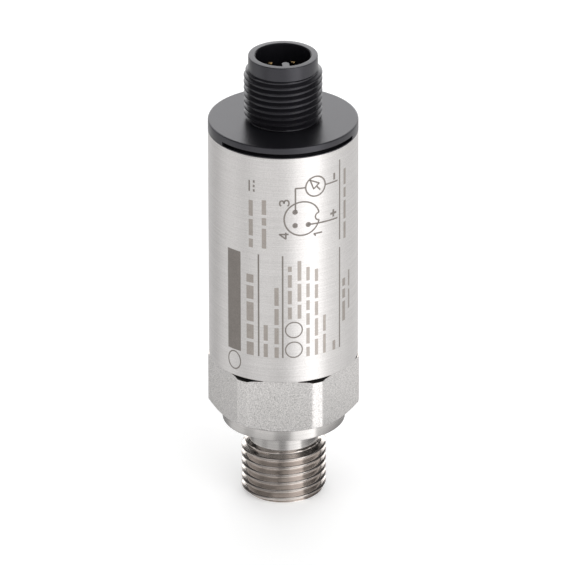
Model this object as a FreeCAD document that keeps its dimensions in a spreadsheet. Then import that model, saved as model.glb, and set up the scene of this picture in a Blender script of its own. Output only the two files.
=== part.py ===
import FreeCAD, Part
import Sketcher
import math
import os
import re

# Pressure transmitter with a threaded stud below, a steel housing tube and a keyed round plug on top.
# The frame: +Z runs up the axis, the origin is the centre of the stud's end face,
# and the key of the connector points to -Y.

doc = FreeCAD.newDocument("pressure_transmitter")

# Driving dimensions, in millimetres and degrees. The tube's diameter leads the round parts,
# and walls, steps and gaps are measured from it.
sizes = [
    # Stud with an inch pipe thread, drawn at its major diameter
    ("stud_length", 12.5),
    ("thread_diameter", 13.157),
    ("stud_tip_chamfer", 0.75),
    ("stud_tip_depth", 0.88),
    ("neck_depth", 1.18),
    ("neck_length", 3.6),
    ("neck_shoulder", 0.7),
    ("neck_fillet", 0.3),
    ("port_diameter", 3.0),
    ("port_lead", 0.3),
    # Collar and the groove for the seal in its underside
    ("collar_set", 1.0),
    ("collar_height", 1.65),
    ("collar_edge", 0.15),
    ("collar_lip", 1.15),
    ("seal_groove_width", 1.4),
    ("seal_groove_depth", 1.4),
    ("seal_play", 0.05),
    ("seal_edge", 0.2),
    # Hexagon with turned corners, 21 across flats
    ("hex_flat_set", 1.0),
    ("hex_corner_proud", 0.15),
    ("hex_seat", 0.25),
    ("hex_height", 9.4),
    ("hex_chamfer_angle", 30.0),
    ("hex_turn", -9.35),
    # Housing tube
    ("tube_diameter", 23.0),
    ("tube_wall", 1.0),
    ("tube_length", 37.75),
    ("tube_edge", 0.15),
    # Boss inside the tube
    ("boss_fit", 0.03),
    ("boss_lead", 0.4),
    ("boss_groove_rise", 0.5),
    ("boss_groove_width", 1.7),
    ("boss_groove_depth", 1.3),
    ("boss_margin", 0.15),
    ("boss_wall", 0.97),
    # Pocket for the ceramic cell
    ("cell_floor_rise", 3.3),
    ("cell_play", 0.1),
    ("cell_land", 1.8),
    ("cell_groove_width", 2.0),
    ("cell_groove_depth", 1.35),
    ("chamber_depth", 0.3),
    ("ring_shoulder", 0.4),
    ("ring_runout", 0.3),
    ("ring_fit", 0.05),
    ("o_ring_play", 0.01),
    ("o_ring_fill", 0.75),
    # Ceramic cell and what holds it
    ("diaphragm_thickness", 0.5),
    ("glass_thickness", 0.1),
    ("glass_width", 2.5),
    ("cell_base_thickness", 5.75),
    ("cell_vent_diameter", 1.2),
    ("cell_notch_diameter", 1.8),
    ("washer_thickness", 1.0),
    ("washer_width", 2.7),
    ("clamp_ring_height", 2.5),
    ("clamp_ring_width", 3.35),
    ("clamp_slot_width", 1.6),
    ("clamp_slot_depth", 1.2),
    ("lead_diameter", 0.5),
    ("lead_length", 1.55),
    ("lead_pitch", 1.2),
    ("lead_row", 2.6),
    # Moulded cap: disc, skirt and seal groove
    ("disc_height", 1.75),
    ("disc_edge", 0.45),
    ("relief_height", 0.75),
    ("relief_floor", 0.12),
    ("relief_angle", 120.0),
    ("relief_notch_width", 1.8),
    ("skirt_fit", 0.1),
    ("skirt_length", 6.5),
    ("skirt_wall", 2.0),
    ("skirt_lead", 0.4),
    ("cap_groove_rise", 1.1),
    ("cap_groove_width", 1.7),
    ("cap_groove_depth", 1.2),
    ("crush_rib_width", 0.8),
    ("crush_rib_gap", 0.4),
    ("crush_rib_fit", 0.01),
    # Moulded cap: keyed connector shell
    ("connector_height", 10.45),
    ("shell_thread_diameter", 12.0),
    ("shell_thread_lead", 0.45),
    ("shell_relief_depth", 0.5),
    ("shell_relief_height", 0.3),
    ("rim_step", 0.68),
    ("rim_height", 2.2),
    ("rim_edge", 0.15),
    ("rim_wall", 1.09),
    ("socket_depth", 8.9),
    ("socket_lead", 0.15),
    ("key_width", 1.07),
    ("key_reach", 1.35),
    ("key_root", 0.2),
    # Moulded cap: pin block, resin cup and vent
    ("cup_drop", 2.5),
    ("cup_depth", 1.3),
    ("cup_margin", 2.7),
    ("cup_wall", 1.0),
    ("resin_gap", 0.2),
    ("vent_drop", 1.75),
    ("vent_diameter", 1.0),
    ("vent_pad_diameter", 3.0),
    ("vent_pad_depth", 0.6),
    ("vent_play", 0.1),
    ("membrane_thickness", 0.25),
    # Contact pins
    ("pin_circle", 5.0),
    ("pin_diameter", 1.0),
    ("pin_nose", 0.3),
    ("pin_setback", 1.95),
    ("pin_bed", 0.8),
    ("pin_collar_diameter", 1.5),
    ("pin_collar_height", 1.6),
    ("pin_tail_diameter", 0.7),
    ("pin_tail_stub", 0.6),
    # Boards and their carrier
    ("contact_board_thickness", 0.8),
    ("board_hole_play", 0.05),
    ("board_gap", 0.3),
    ("board_thickness", 1.0),
    ("board_play", 0.05),
    ("tab_margin", 0.9),
    ("tab_width", 2.4),
    ("carrier_fit", 0.2),
    ("carrier_ledge", 1.3),
    ("carrier_base_height", 1.5),
    ("upright_grip", 0.7),
    ("upright_gap", 0.9),
    ("upright_width", 4.4),
    ("upright_top_gap", 0.8),
    ("flex_width", 5.6),
    ("flex_thickness", 0.15),
    ("flex_bend", 1.0),
    ("flex_reach", 1.4),
    ("flex_rise", 5.0),
    # Parts soldered to the main board; a share is a place up the board's height
    ("solder_gap", 0.4),
    ("solder_cap_share", 0.2),
    ("solder_core_share", 0.9),
    ("chip_width", 4.4),
    ("chip_height", 5.0),
    ("chip_thickness", 1.2),
    ("chip_share", 0.33),
    ("chip_lead_pitch", 0.65),
    ("chip_lead_width", 0.25),
    ("chip_lead_reach", 1.0),
    ("chip_lead_thickness", 0.15),
    ("transistor_width", 6.5),
    ("transistor_height", 3.5),
    ("transistor_thickness", 1.6),
    ("transistor_share", 0.72),
    ("transistor_foot_pitch", 2.2),
    ("transistor_foot_width", 0.7),
    ("transistor_foot_thickness", 0.27),
    ("diode_width", 4.3),
    ("diode_height", 2.6),
    ("diode_thickness", 2.0),
    ("diode_share", 0.62),
    ("diode_spread", 0.2),
    ("capacitor_length", 2.0),
    ("capacitor_width", 1.25),
    ("capacitor_share", 0.08),
    ("resistor_length", 1.6),
    ("resistor_width", 0.8),
    ("resistor_thickness", 0.45),
    ("resistor_pitch", 1.4),
    ("inductor_width", 4.0),
    ("inductor_thickness", 2.2),
    ("inductor_corner", 0.8),
    ("inductor_share", 0.72),
]

# Levels above the stud's end face, and radii, that follow from the sizes.
levels = [
    ("seal_plane", "stud_length"),
    ("cone_foot", "seal_plane + collar_height"),
    ("hex_top", "cone_foot + hex_height"),
    ("cell_floor", "hex_top + cell_floor_rise"),
    ("base_foot", "cell_floor + diaphragm_thickness + glass_thickness"),
    ("base_back", "base_foot + cell_base_thickness"),
    ("washer_top", "base_back + washer_thickness"),
    ("clamp_top", "washer_top + clamp_ring_height"),
    ("boss_top", "clamp_top + boss_margin"),
    ("board_foot", "boss_top + carrier_base_height"),
    ("tube_top", "hex_top + tube_length"),
    ("disc_top", "tube_top + disc_height"),
    ("rim_top", "disc_top + connector_height"),
    ("skirt_end", "tube_top - skirt_length"),
    ("pin_floor", "rim_top - socket_depth"),
    ("pin_tip", "rim_top - pin_setback"),
    ("pin_collar_top", "pin_floor - pin_bed"),
    ("pin_collar_foot", "pin_collar_top - pin_collar_height"),
    ("cup_rim", "tube_top - cup_drop"),
    ("cup_floor", "cup_rim + cup_depth"),
    ("board_top", "cup_rim - contact_board_thickness"),
    ("board_height", "board_top - board_foot"),
    ("vent_level", "tube_top - vent_drop"),
    ("flex_level", "base_back + lead_length"),
    ("tube_radius", "tube_diameter / 2"),
    ("tube_bore_radius", "tube_radius - tube_wall"),
    ("flat_radius", "tube_radius - hex_flat_set"),
    ("land_radius", "tube_radius + hex_corner_proud"),
    ("seat_radius", "tube_bore_radius + hex_seat"),
    ("collar_radius", "flat_radius - collar_set"),
    ("seal_outer_radius", "collar_radius - collar_lip"),
    ("seal_inner_radius", "seal_outer_radius - seal_groove_width"),
    ("thread_radius", "thread_diameter / 2"),
    ("neck_radius", "thread_radius - neck_depth"),
    ("port_radius", "port_diameter / 2"),
    ("boss_radius", "tube_bore_radius - boss_fit"),
    ("boss_groove_radius", "boss_radius - boss_groove_depth"),
    ("ring_thread_radius", "boss_radius - boss_wall"),
    ("pocket_radius", "ring_thread_radius - ring_shoulder"),
    ("cell_radius", "pocket_radius - cell_play"),
    ("cell_groove_outer", "cell_radius - cell_land"),
    ("cell_groove_inner", "cell_groove_outer - cell_groove_width"),
    ("clamp_radius", "ring_thread_radius - ring_fit"),
    ("clamp_bore_radius", "clamp_radius - clamp_ring_width"),
    ("skirt_radius", "tube_bore_radius - skirt_fit"),
    ("skirt_bore_radius", "skirt_radius - skirt_wall"),
    ("cap_groove_radius", "skirt_radius - cap_groove_depth"),
    ("vent_pad_floor", "skirt_bore_radius + vent_pad_depth"),
    ("shell_radius", "shell_thread_diameter / 2"),
    ("rim_radius", "shell_radius - rim_step"),
    ("socket_radius", "rim_radius - rim_wall"),
    ("cup_radius", "pin_circle / 2 + cup_margin"),
    ("board_half", "skirt_bore_radius - board_gap"),
    ("board_face", "board_thickness / 2"),
    ("upright_inner", "board_half - upright_grip"),
    ("tab_inner", "pin_circle / 2 + tab_margin"),
    ("tab_outer", "tab_inner + tab_width"),
]

# How many of each thing is repeated
hexagon_sides = 6
cell_notches = 3
clamp_slots = 4
crush_ribs = 6
uprights = 2
cell_lead_count = 4
chip_leads_a_side = 7
transistor_feet = 3
capacitor_count = 5
resistor_rows = 4
diode_count = 3

address = {}


def fill_sheet(name, rows):
    """Writes one name and one value or formula to each row, and gives the value's cell that name."""
    sheet = doc.addObject("Spreadsheet::Sheet", name)
    for row, (alias, value) in enumerate(rows, 1):
        sheet.set("A%d" % row, alias)
        sheet.set("B%d" % row, "=" + cell(value) if isinstance(value, str) else str(value))
        sheet.setAlias("B%d" % row, alias)
        address[alias] = name + "." + alias
    doc.recompute()


def cell(formula):
    """Points each name in a formula at its cell in the sheets."""
    return re.sub(r"[a-z][a-z_0-9]+", lambda word: address.get(word.group(), word.group()), formula)


def number(formula):
    """The value of a formula, for the first drawing of a sketch and for finding edges."""
    return float(doc.getObject("Sizes").evalExpression(cell(formula)))


fill_sheet("Sizes", sizes)
fill_sheet("Levels", levels)

pieces = []


def new_body(name):
    body = doc.addObject("PartDesign::Body", name)
    body.Label = name
    pieces.append(body)
    return body


def new_sketch(body, name, role, offset=None):
    """A sketch on one of the body's origin planes, moved along the plane's normal by a formula."""
    plane = next(item for item in body.Origin.OriginFeatures if item.Role == role)
    sketch = body.newObject("Sketcher::SketchObject", name)
    sketch.AttachmentSupport = [(plane, "")]
    sketch.MapMode = "FlatFace"
    if offset:
        sketch.setExpression(".AttachmentOffset.Base.z", cell(offset))
    return sketch


def pin_point(sketch, shape, point, place):
    """Holds one point of a sketch at a pair of formulas."""
    for kind, formula in zip(("DistanceX", "DistanceY"), place):
        if formula == "0":
            axis = -2 if kind == "DistanceX" else -1
            sketch.addConstraint(Sketcher.Constraint("PointOnObject", shape, point, axis))
            continue
        rule = Sketcher.Constraint(kind, -1, 1, shape, point, number(formula))
        index = sketch.addConstraint(rule)
        sketch.setExpression("Constraints[%d]" % index, cell(formula))


def bow(start, end, middle, turn):
    """The point half way along an arc round a middle; turn is 1 for anticlockwise and -1 for clockwise."""
    first = math.atan2(start.y - middle.y, start.x - middle.x)
    last = math.atan2(end.y - middle.y, end.x - middle.x)
    angle = first + turn * (((last - first) * turn) % (2 * math.pi)) / 2
    return middle + FreeCAD.Vector(math.cos(angle), math.sin(angle), 0) * start.distanceToPoint(middle)


def outline(sketch, corners, arcs=None):
    """A closed outline through corners given as pairs of formulas. The side after a corner that arcs names
    is an arc, given by the pair of formulas of its middle and by the way it turns."""
    points = [FreeCAD.Vector(number(across), number(along), 0) for across, along in corners]
    first = sketch.GeometryCount
    count = len(points)
    arcs = arcs or {}
    for index, start in enumerate(points):
        end = points[(index + 1) % count]
        if index in arcs:
            place, turn = arcs[index]
            middle = FreeCAD.Vector(number(place[0]), number(place[1]), 0)
            sketch.addGeometry(Part.Arc(start, bow(start, end, middle, turn), end), False)
        else:
            sketch.addGeometry(Part.LineSegment(start, end), False)
    # A clockwise arc is stored the other way round, so its first point is its end.
    begins = [2 if index in arcs and arcs[index][1] < 0 else 1 for index in range(count)]
    for index, place in enumerate(corners):
        ahead = (index + 1) % count
        sketch.addConstraint(Sketcher.Constraint("Coincident", first + index, 3 - begins[index],
                                                 first + ahead, begins[ahead]))
        pin_point(sketch, first + index, begins[index], place)
    for index, (place, turn) in arcs.items():
        chord = points[(index + 1) % count] - points[index]
        flat_chord = abs(chord.x) > abs(chord.y)
        formula = place[1] if flat_chord else place[0]
        rule = Sketcher.Constraint("DistanceY" if flat_chord else "DistanceX", -1, 1, first + index, 3,
                                   number(formula))
        sketch.setExpression("Constraints[%d]" % sketch.addConstraint(rule), cell(formula))


def circle(sketch, radius, place=("0", "0")):
    middle = FreeCAD.Vector(number(place[0]), number(place[1]), 0)
    index = sketch.addGeometry(Part.Circle(middle, FreeCAD.Vector(0, 0, 1), number(radius)), False)
    pin_point(sketch, index, 3, place)
    rule = sketch.addConstraint(Sketcher.Constraint("Radius", index, number(radius)))
    sketch.setExpression("Constraints[%d]" % rule, cell(radius))


def rectangle(sketch, across, along):
    outline(sketch, [(across[0], along[0]), (across[1], along[0]),
                     (across[1], along[1]), (across[0], along[1])])


def feature(body, kind, name, sketch, **values):
    """A sketch-based feature whose given properties are formulas."""
    item = body.newObject("PartDesign::" + kind, name)
    item.Profile = sketch
    if kind in ("Revolution", "Groove"):
        item.ReferenceAxis = (sketch, ["V_Axis"])
    for key, value in values.items():
        if isinstance(value, str):
            item.setExpression(key, cell(value))
        else:
            setattr(item, key, value)
    body.Tip = item
    doc.recompute()
    return item


def turned(name, corners):
    """A body turned from one half section."""
    body = new_body(name)
    section = new_sketch(body, "Section", "XZ_Plane")
    outline(section, corners)
    feature(body, "Revolution", "Turned", section, Angle="360")
    return body


def around(body, name, cut, count):
    """Repeats a feature evenly round the axis."""
    pattern = body.newObject("PartDesign::PolarPattern", name)
    pattern.Originals = [cut]
    pattern.Axis = (next(item for item in body.Origin.OriginFeatures if item.Role == "Z_Axis"), [""])
    pattern.Angle = 360
    pattern.Occurrences = count
    body.Tip = pattern
    doc.recompute()


def ring_edges(shape, radius, level):
    """The names of the round edges at a radius and a level."""
    found = []
    for index, edge in enumerate(shape.Edges, 1):
        box = edge.BoundBox
        if abs(box.ZMin - level) < 1e-4 and abs(box.ZMax - level) < 1e-4:
            far = max(point.Point.x ** 2 + point.Point.y ** 2 for point in edge.Vertexes) ** 0.5
            if abs(far - radius) < 1e-4:
                found.append("Edge%d" % index)
    return found


def soften(body, kind, name, radius, level, amount, reach):
    """A fillet or chamfer on the round edges at a radius and a level."""
    base = body.Tip
    edges = ring_edges(base.Shape, number(radius), number(level))
    item = body.newObject("PartDesign::" + kind, name)
    item.Base = (base, edges)
    item.setExpression(reach, cell(amount))
    body.Tip = item
    doc.recompute()


def box(name, across, deep, along):
    """A block between three pairs of formulas, along X, Y and Z."""
    block = doc.addObject("Part::Box", name)
    for size, place, ends in zip(("Length", "Width", "Height"), "xyz", (across, deep, along)):
        block.setExpression(size, cell("(%s) - (%s)" % (ends[1], ends[0])))
        block.setExpression(".Placement.Base." + place, cell(ends[0]))
    return block


def rod(name, radius, foot, top, place=("0", "0")):
    """An upright cylinder between two levels."""
    cylinder = doc.addObject("Part::Cylinder", name)
    cylinder.setExpression("Radius", cell(radius))
    cylinder.setExpression("Height", cell("(%s) - (%s)" % (top, foot)))
    for key, formula in zip("xyz", (place[0], place[1], foot)):
        cylinder.setExpression(".Placement.Base." + key, cell(formula))
    return cylinder


def joined(name, parts):
    """One solid of several blocks."""
    whole = doc.addObject("Part::MultiFuse", name)
    whole.Shapes = parts
    return whole


def group(name, parts):
    """Separate like solids that share one name."""
    whole = doc.addObject("Part::Compound", name)
    whole.Label = name
    whole.Links = parts
    pieces.append(whole)


def squeezed_ring(name, radii, heights):
    """A round seal as its groove squeezes it: flat where it touches and half round at its free sides."""
    width = "(%s) - (%s)" % (radii[1], radii[0])
    height = "(%s) - (%s)" % (heights[1], heights[0])
    inner, outer = radii[0] + " + o_ring_play", radii[1] + " - o_ring_play"
    foot, top = heights[0] + " + o_ring_play", heights[1] + " - o_ring_play"
    body = new_body(name)
    section = new_sketch(body, "Section", "XZ_Plane")
    if number(width) < number(height):
        flat = "((%s) - (%s)) * o_ring_fill / 2" % (height, width)
        middle = "((%s) + (%s)) / 2" % (radii[0], radii[1])
        low, high = ["((%s) + (%s)) / 2 %s %s" % (*heights, sign, flat) for sign in "-+"]
        outline(section, [(outer, low), (outer, high), (inner, high), (inner, low)],
                {1: ((middle, high), 1), 3: ((middle, low), 1)})
    else:
        flat = "((%s) - (%s)) * o_ring_fill / 2" % (width, height)
        middle = "((%s) + (%s)) / 2" % (heights[0], heights[1])
        near, far = ["((%s) + (%s)) / 2 %s %s" % (*radii, sign, flat) for sign in "-+"]
        outline(section, [(near, foot), (far, foot), (far, top), (near, top)],
                {1: ((far, middle), 1), 3: ((near, middle), 1)})
    feature(body, "Revolution", "Turned", section, Angle="360")


# The process fitting is turned from one bar: stud, neck, collar, hexagon and the boss that the tube fits.
# Where the land of the hexagon meets the two chamfers the flats leave curved edges.
land_rise = "(land_radius - collar_radius) * tan(hex_chamfer_angle)"
land_fall = "(land_radius - seat_radius) * tan(hex_chamfer_angle)"
boss_groove_foot = "hex_top + boss_groove_rise"
boss_groove_top = boss_groove_foot + " + boss_groove_width"

fitting = turned("process_fitting", [
    ("port_radius + port_lead", "0"),
    ("thread_radius - stud_tip_depth", "0"),
    ("thread_radius", "stud_tip_chamfer"),
    ("thread_radius", "seal_plane - neck_length - neck_shoulder"),
    ("neck_radius", "seal_plane - neck_length"),
    ("neck_radius", "seal_plane"),
    ("seal_inner_radius", "seal_plane"),
    ("seal_inner_radius", "seal_plane + seal_groove_depth"),
    ("seal_outer_radius", "seal_plane + seal_groove_depth"),
    ("seal_outer_radius", "seal_plane"),
    ("collar_radius - collar_edge", "seal_plane"),
    ("collar_radius", "seal_plane + collar_edge"),
    ("collar_radius", "cone_foot"),
    ("land_radius", "cone_foot + " + land_rise),
    ("land_radius", "hex_top - " + land_fall),
    ("seat_radius", "hex_top"),
    ("boss_radius", "hex_top"),
    ("boss_radius", boss_groove_foot),
    ("boss_groove_radius", boss_groove_foot),
    ("boss_groove_radius", boss_groove_top),
    ("boss_radius", boss_groove_top),
    ("boss_radius", "boss_top - boss_lead"),
    ("boss_radius - boss_lead", "boss_top"),
    ("ring_thread_radius", "boss_top"),
    ("ring_thread_radius", "washer_top - ring_runout"),
    ("pocket_radius", "washer_top - ring_runout"),
    ("pocket_radius", "cell_floor"),
    ("cell_groove_outer", "cell_floor"),
    ("cell_groove_outer", "cell_floor - cell_groove_depth"),
    ("cell_groove_inner", "cell_floor - cell_groove_depth"),
    ("cell_groove_inner", "cell_floor - chamber_depth"),
    ("port_radius", "cell_floor - chamber_depth"),
    ("port_radius", "port_lead"),
])
soften(fitting, "Fillet", "NeckFillet", "neck_radius", "seal_plane", "neck_fillet", "Radius")
flat = new_sketch(fitting, "FlatSketch", "XY_Plane", "cone_foot")
rectangle(flat, ("-land_radius", "land_radius"), ("-land_radius - hex_flat_set", "-flat_radius"))
flat_cut = feature(fitting, "Pocket", "FlatCut", flat, Length="hex_height", Reversed=True)
around(fitting, "Flats", flat_cut, hexagon_sides)
fitting.setExpression(".Placement.Rotation.Angle", cell("hex_turn"))

# The profile ring sits in the collar's groove, flush with the collar's underside.
seal_inner = "seal_inner_radius + seal_play"
seal_outer = "seal_outer_radius - seal_play"
turned("stud_seal", [
    (seal_inner + " + seal_edge", "seal_plane"),
    (seal_outer + " - seal_edge", "seal_plane"),
    (seal_outer, "seal_plane + seal_edge"),
    (seal_outer, "seal_plane + seal_groove_depth"),
    (seal_inner, "seal_plane + seal_groove_depth"),
    (seal_inner, "seal_plane + seal_edge"),
])

# The housing tube stands on the hexagon and has softened edges.
turned("housing_tube", [
    ("tube_bore_radius", "hex_top"),
    ("tube_radius - tube_edge", "hex_top"),
    ("tube_radius", "hex_top + tube_edge"),
    ("tube_radius", "tube_top - tube_edge"),
    ("tube_radius - tube_edge", "tube_top"),
    ("tube_bore_radius", "tube_top"),
])

cap_groove_foot = "skirt_end + cap_groove_rise"
cap_groove_top = cap_groove_foot + " + cap_groove_width"
squeezed_ring("housing_o_ring", ("boss_groove_radius", "tube_bore_radius"),
              (boss_groove_foot, boss_groove_top))
squeezed_ring("cap_o_ring", ("cap_groove_radius", "tube_bore_radius"), (cap_groove_foot, cap_groove_top))
squeezed_ring("cell_o_ring", ("cell_groove_inner", "cell_groove_outer"),
              ("cell_floor - cell_groove_depth", "cell_floor"))

# The ceramic cell: a thin diaphragm, a ring of glass and a thick base with a vent and three notches.
turned("cell_diaphragm", [
    ("0", "cell_floor"),
    ("cell_radius", "cell_floor"),
    ("cell_radius", "cell_floor + diaphragm_thickness"),
    ("0", "cell_floor + diaphragm_thickness"),
])
turned("cell_glass_joint", [
    ("cell_radius - glass_width", "cell_floor + diaphragm_thickness"),
    ("cell_radius", "cell_floor + diaphragm_thickness"),
    ("cell_radius", "base_foot"),
    ("cell_radius - glass_width", "base_foot"),
])
ceramic = turned("cell_base", [
    ("cell_vent_diameter / 2", "base_foot"),
    ("cell_radius", "base_foot"),
    ("cell_radius", "base_back"),
    ("cell_vent_diameter / 2", "base_back"),
])
notch = new_sketch(ceramic, "NotchSketch", "XY_Plane", "base_back")
circle(notch, "cell_notch_diameter / 2", ("0", "cell_radius"))
notch_cut = feature(ceramic, "Pocket", "Notch", notch, Length="cell_base_thickness")
around(ceramic, "Notches", notch_cut, cell_notches)

group("cell_leads", [
    rod("cell_lead_%d" % (index + 1), "lead_diameter / 2", "base_back", "flex_level",
        ("lead_pitch * %g" % (index - (cell_lead_count - 1) / 2), "-lead_row"))
    for index in range(cell_lead_count)
])

turned("cell_washer", [
    ("cell_radius - washer_width", "base_back"),
    ("cell_radius", "base_back"),
    ("cell_radius", "washer_top"),
    ("cell_radius - washer_width", "washer_top"),
])
clamp = turned("cell_clamp_ring", [
    ("clamp_bore_radius", "washer_top"),
    ("clamp_radius", "washer_top"),
    ("clamp_radius", "clamp_top"),
    ("clamp_bore_radius", "clamp_top"),
])
slot = new_sketch(clamp, "SlotSketch", "XY_Plane", "clamp_top")
rectangle(slot, ("-clamp_slot_width / 2", "clamp_slot_width / 2"),
          ("clamp_bore_radius - clamp_slot_width", "clamp_radius + clamp_slot_width"))
around(clamp, "Slots", feature(clamp, "Pocket", "Slot", slot, Length="clamp_slot_depth"), clamp_slots)

# The cap is one moulding: the keyed connector shell, the disc that closes the tube, the skirt with its
# seal groove, the pin block with a cup for resin, and a relief in a third of the disc's edge.
cap = turned("connector_cap", [
    ("0", "pin_floor"),
    ("socket_radius", "pin_floor"),
    ("socket_radius", "rim_top - socket_lead"),
    ("socket_radius + socket_lead", "rim_top"),
    ("rim_radius - rim_edge", "rim_top"),
    ("rim_radius", "rim_top - rim_edge"),
    ("rim_radius", "rim_top - rim_height"),
    ("shell_radius", "rim_top - rim_height - shell_thread_lead"),
    ("shell_radius", "disc_top + shell_relief_height"),
    ("shell_radius - shell_relief_depth", "disc_top + shell_relief_height"),
    ("shell_radius - shell_relief_depth", "disc_top"),
    ("tube_radius", "disc_top"),
    ("tube_radius", "tube_top"),
    ("skirt_radius", "tube_top"),
    ("skirt_radius", cap_groove_top),
    ("cap_groove_radius", cap_groove_top),
    ("cap_groove_radius", cap_groove_foot),
    ("skirt_radius", cap_groove_foot),
    ("skirt_radius", "skirt_end + skirt_lead"),
    ("skirt_radius - skirt_lead", "skirt_end"),
    ("skirt_bore_radius", "skirt_end"),
    ("skirt_bore_radius", "tube_top"),
    ("cup_radius + cup_wall", "tube_top"),
    ("cup_radius + cup_wall", "cup_rim"),
    ("cup_radius", "cup_rim"),
    ("cup_radius", "cup_floor"),
    ("0", "cup_floor"),
])
soften(cap, "Fillet", "DiscFillet", "tube_radius", "disc_top", "disc_edge", "Radius")

relief = new_sketch(cap, "ReliefSketch", "YZ_Plane")
relief_reach = ("-tube_radius - relief_height", "-skirt_radius")
rectangle(relief, relief_reach, ("tube_top + relief_floor", "tube_top + relief_height"))
feature(cap, "Groove", "Relief", relief, Angle="relief_angle", Midplane=True)

# A thin floor stays on the tube's end, and a notch in its middle lets air down past the skirt.
notch = new_sketch(cap, "ReliefNotchSketch", "XY_Plane", "tube_top")
rectangle(notch, ("-relief_notch_width / 2", "relief_notch_width / 2"), relief_reach)
feature(cap, "Pocket", "ReliefNotch", notch, Length="relief_floor", Reversed=True)

# The key is a rib with a half-round nose, flush with the rim.
key_middle = "key_reach - socket_radius - key_width / 2"
key_foot = "-socket_radius - key_root"
key = new_sketch(cap, "KeySketch", "XY_Plane", "pin_floor")
outline(key, [("-key_width / 2", key_middle), ("-key_width / 2", key_foot),
              ("key_width / 2", key_foot), ("key_width / 2", key_middle)],
        {3: (("0", key_middle), 1)})
feature(cap, "Pad", "Key", key, Length="socket_depth")

# Contacts 1, 3 and 4 of the four places round the key; place 2 is blank.
contacts = {1: -135, 3: 45, 4: 135}


def contact_place(turn):
    return ("pin_circle / 2 * cos(%d)" % turn, "pin_circle / 2 * sin(%d)" % turn)


def pin_holes(body, name, radius, level, depth):
    """Round holes for the contacts, sunk from a level."""
    sketch = new_sketch(body, name + "Sketch", "XY_Plane", level)
    for turn in contacts.values():
        circle(sketch, radius, contact_place(turn))
    feature(body, "Pocket", name, sketch, Length=depth)


pin_holes(cap, "PinHoles", "pin_diameter / 2", "pin_floor", "pin_bed")
pin_holes(cap, "CollarHoles", "pin_collar_diameter / 2", "pin_collar_top", "pin_collar_height")
pin_holes(cap, "TailHoles", "pin_tail_diameter / 2", "pin_collar_foot", "pin_collar_foot - cup_floor")

# Reference air comes in under the relief, through a small hole to a membrane on the skirt's inner wall.
vent_start = "skirt_bore_radius - vent_pad_depth"
for name, across, depth in (("Vent", "vent_diameter", "skirt_wall + 2 * vent_pad_depth"),
                            ("VentPad", "vent_pad_diameter", "2 * vent_pad_depth")):
    vent = new_sketch(cap, name + "Sketch", "XZ_Plane", vent_start)
    circle(vent, across + " / 2", ("0", "vent_level"))
    feature(cap, "Pocket", name, vent, Length=depth, Reversed=True)

# Low ribs on the skirt grip the tube.
rib_foot = cap_groove_top + " + crush_rib_gap"
rib = new_sketch(cap, "RibSketch", "XY_Plane", rib_foot)
rectangle(rib, ("skirt_radius - crush_rib_width / 2", "tube_bore_radius - crush_rib_fit"),
          ("-crush_rib_width / 2", "crush_rib_width / 2"))
rib_pad = feature(cap, "Pad", "Rib", rib, Length="tube_top - crush_rib_gap - (%s)" % rib_foot)
around(cap, "Ribs", rib_pad, crush_ribs)

membrane = doc.addObject("Part::Cylinder", "vent_membrane")
membrane.Label = "vent_membrane"
membrane.Placement = FreeCAD.Placement(FreeCAD.Vector(), FreeCAD.Rotation(FreeCAD.Vector(1, 0, 0), 90))
membrane.setExpression("Radius", cell("vent_pad_diameter / 2 - vent_play"))
membrane.setExpression("Height", cell("membrane_thickness"))
membrane.setExpression(".Placement.Base.y", cell("membrane_thickness - vent_pad_floor"))
membrane.setExpression(".Placement.Base.z", cell("vent_level"))
pieces.append(membrane)

# Each contact is turned, with a rounded nose, a collar that the moulding grips and a thin tail.
for number_on_insert, turn in contacts.items():
    contact = turned("contact_pin_%d" % number_on_insert, [
        ("0", "pin_tip"),
        ("0", "board_top - pin_tail_stub"),
        ("pin_tail_diameter / 2", "board_top - pin_tail_stub"),
        ("pin_tail_diameter / 2", "pin_collar_foot"),
        ("pin_collar_diameter / 2", "pin_collar_foot"),
        ("pin_collar_diameter / 2", "pin_collar_top"),
        ("pin_diameter / 2", "pin_collar_top"),
        ("pin_diameter / 2", "pin_tip - pin_nose"),
        ("pin_diameter / 2 - pin_nose", "pin_tip"),
    ])
    place = contact_place(turn)
    contact.setExpression(".Placement.Base.x", cell(place[0]))
    contact.setExpression(".Placement.Base.y", cell(place[1]))

# Resin fills the cup round the tails of the contacts.
resin = turned("pin_resin", [
    ("0", "cup_rim + resin_gap"),
    ("cup_radius", "cup_rim + resin_gap"),
    ("cup_radius", "cup_floor"),
    ("0", "cup_floor"),
])
pin_holes(resin, "ResinHoles", "pin_tail_diameter / 2", "cup_floor", "cup_depth")

# The round contact board seats on the cup, and the upright main board is tabbed into it.
contact_board = turned("contact_board", [
    ("0", "board_top"),
    ("board_half", "board_top"),
    ("board_half", "cup_rim"),
    ("0", "cup_rim"),
])
pin_holes(contact_board, "BoardHoles", "pin_tail_diameter / 2 + board_hole_play", "cup_rim",
          "contact_board_thickness")
tabs = new_sketch(contact_board, "TabSketch", "XY_Plane", "cup_rim")
for sign in ("", "-"):
    ends = [sign + "(tab_inner - board_play)", sign + "(tab_outer + board_play)"]
    rectangle(tabs, ends, ("-board_face - board_play", "board_face + board_play"))
feature(contact_board, "Pocket", "TabSlots", tabs, Length="contact_board_thickness")

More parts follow.
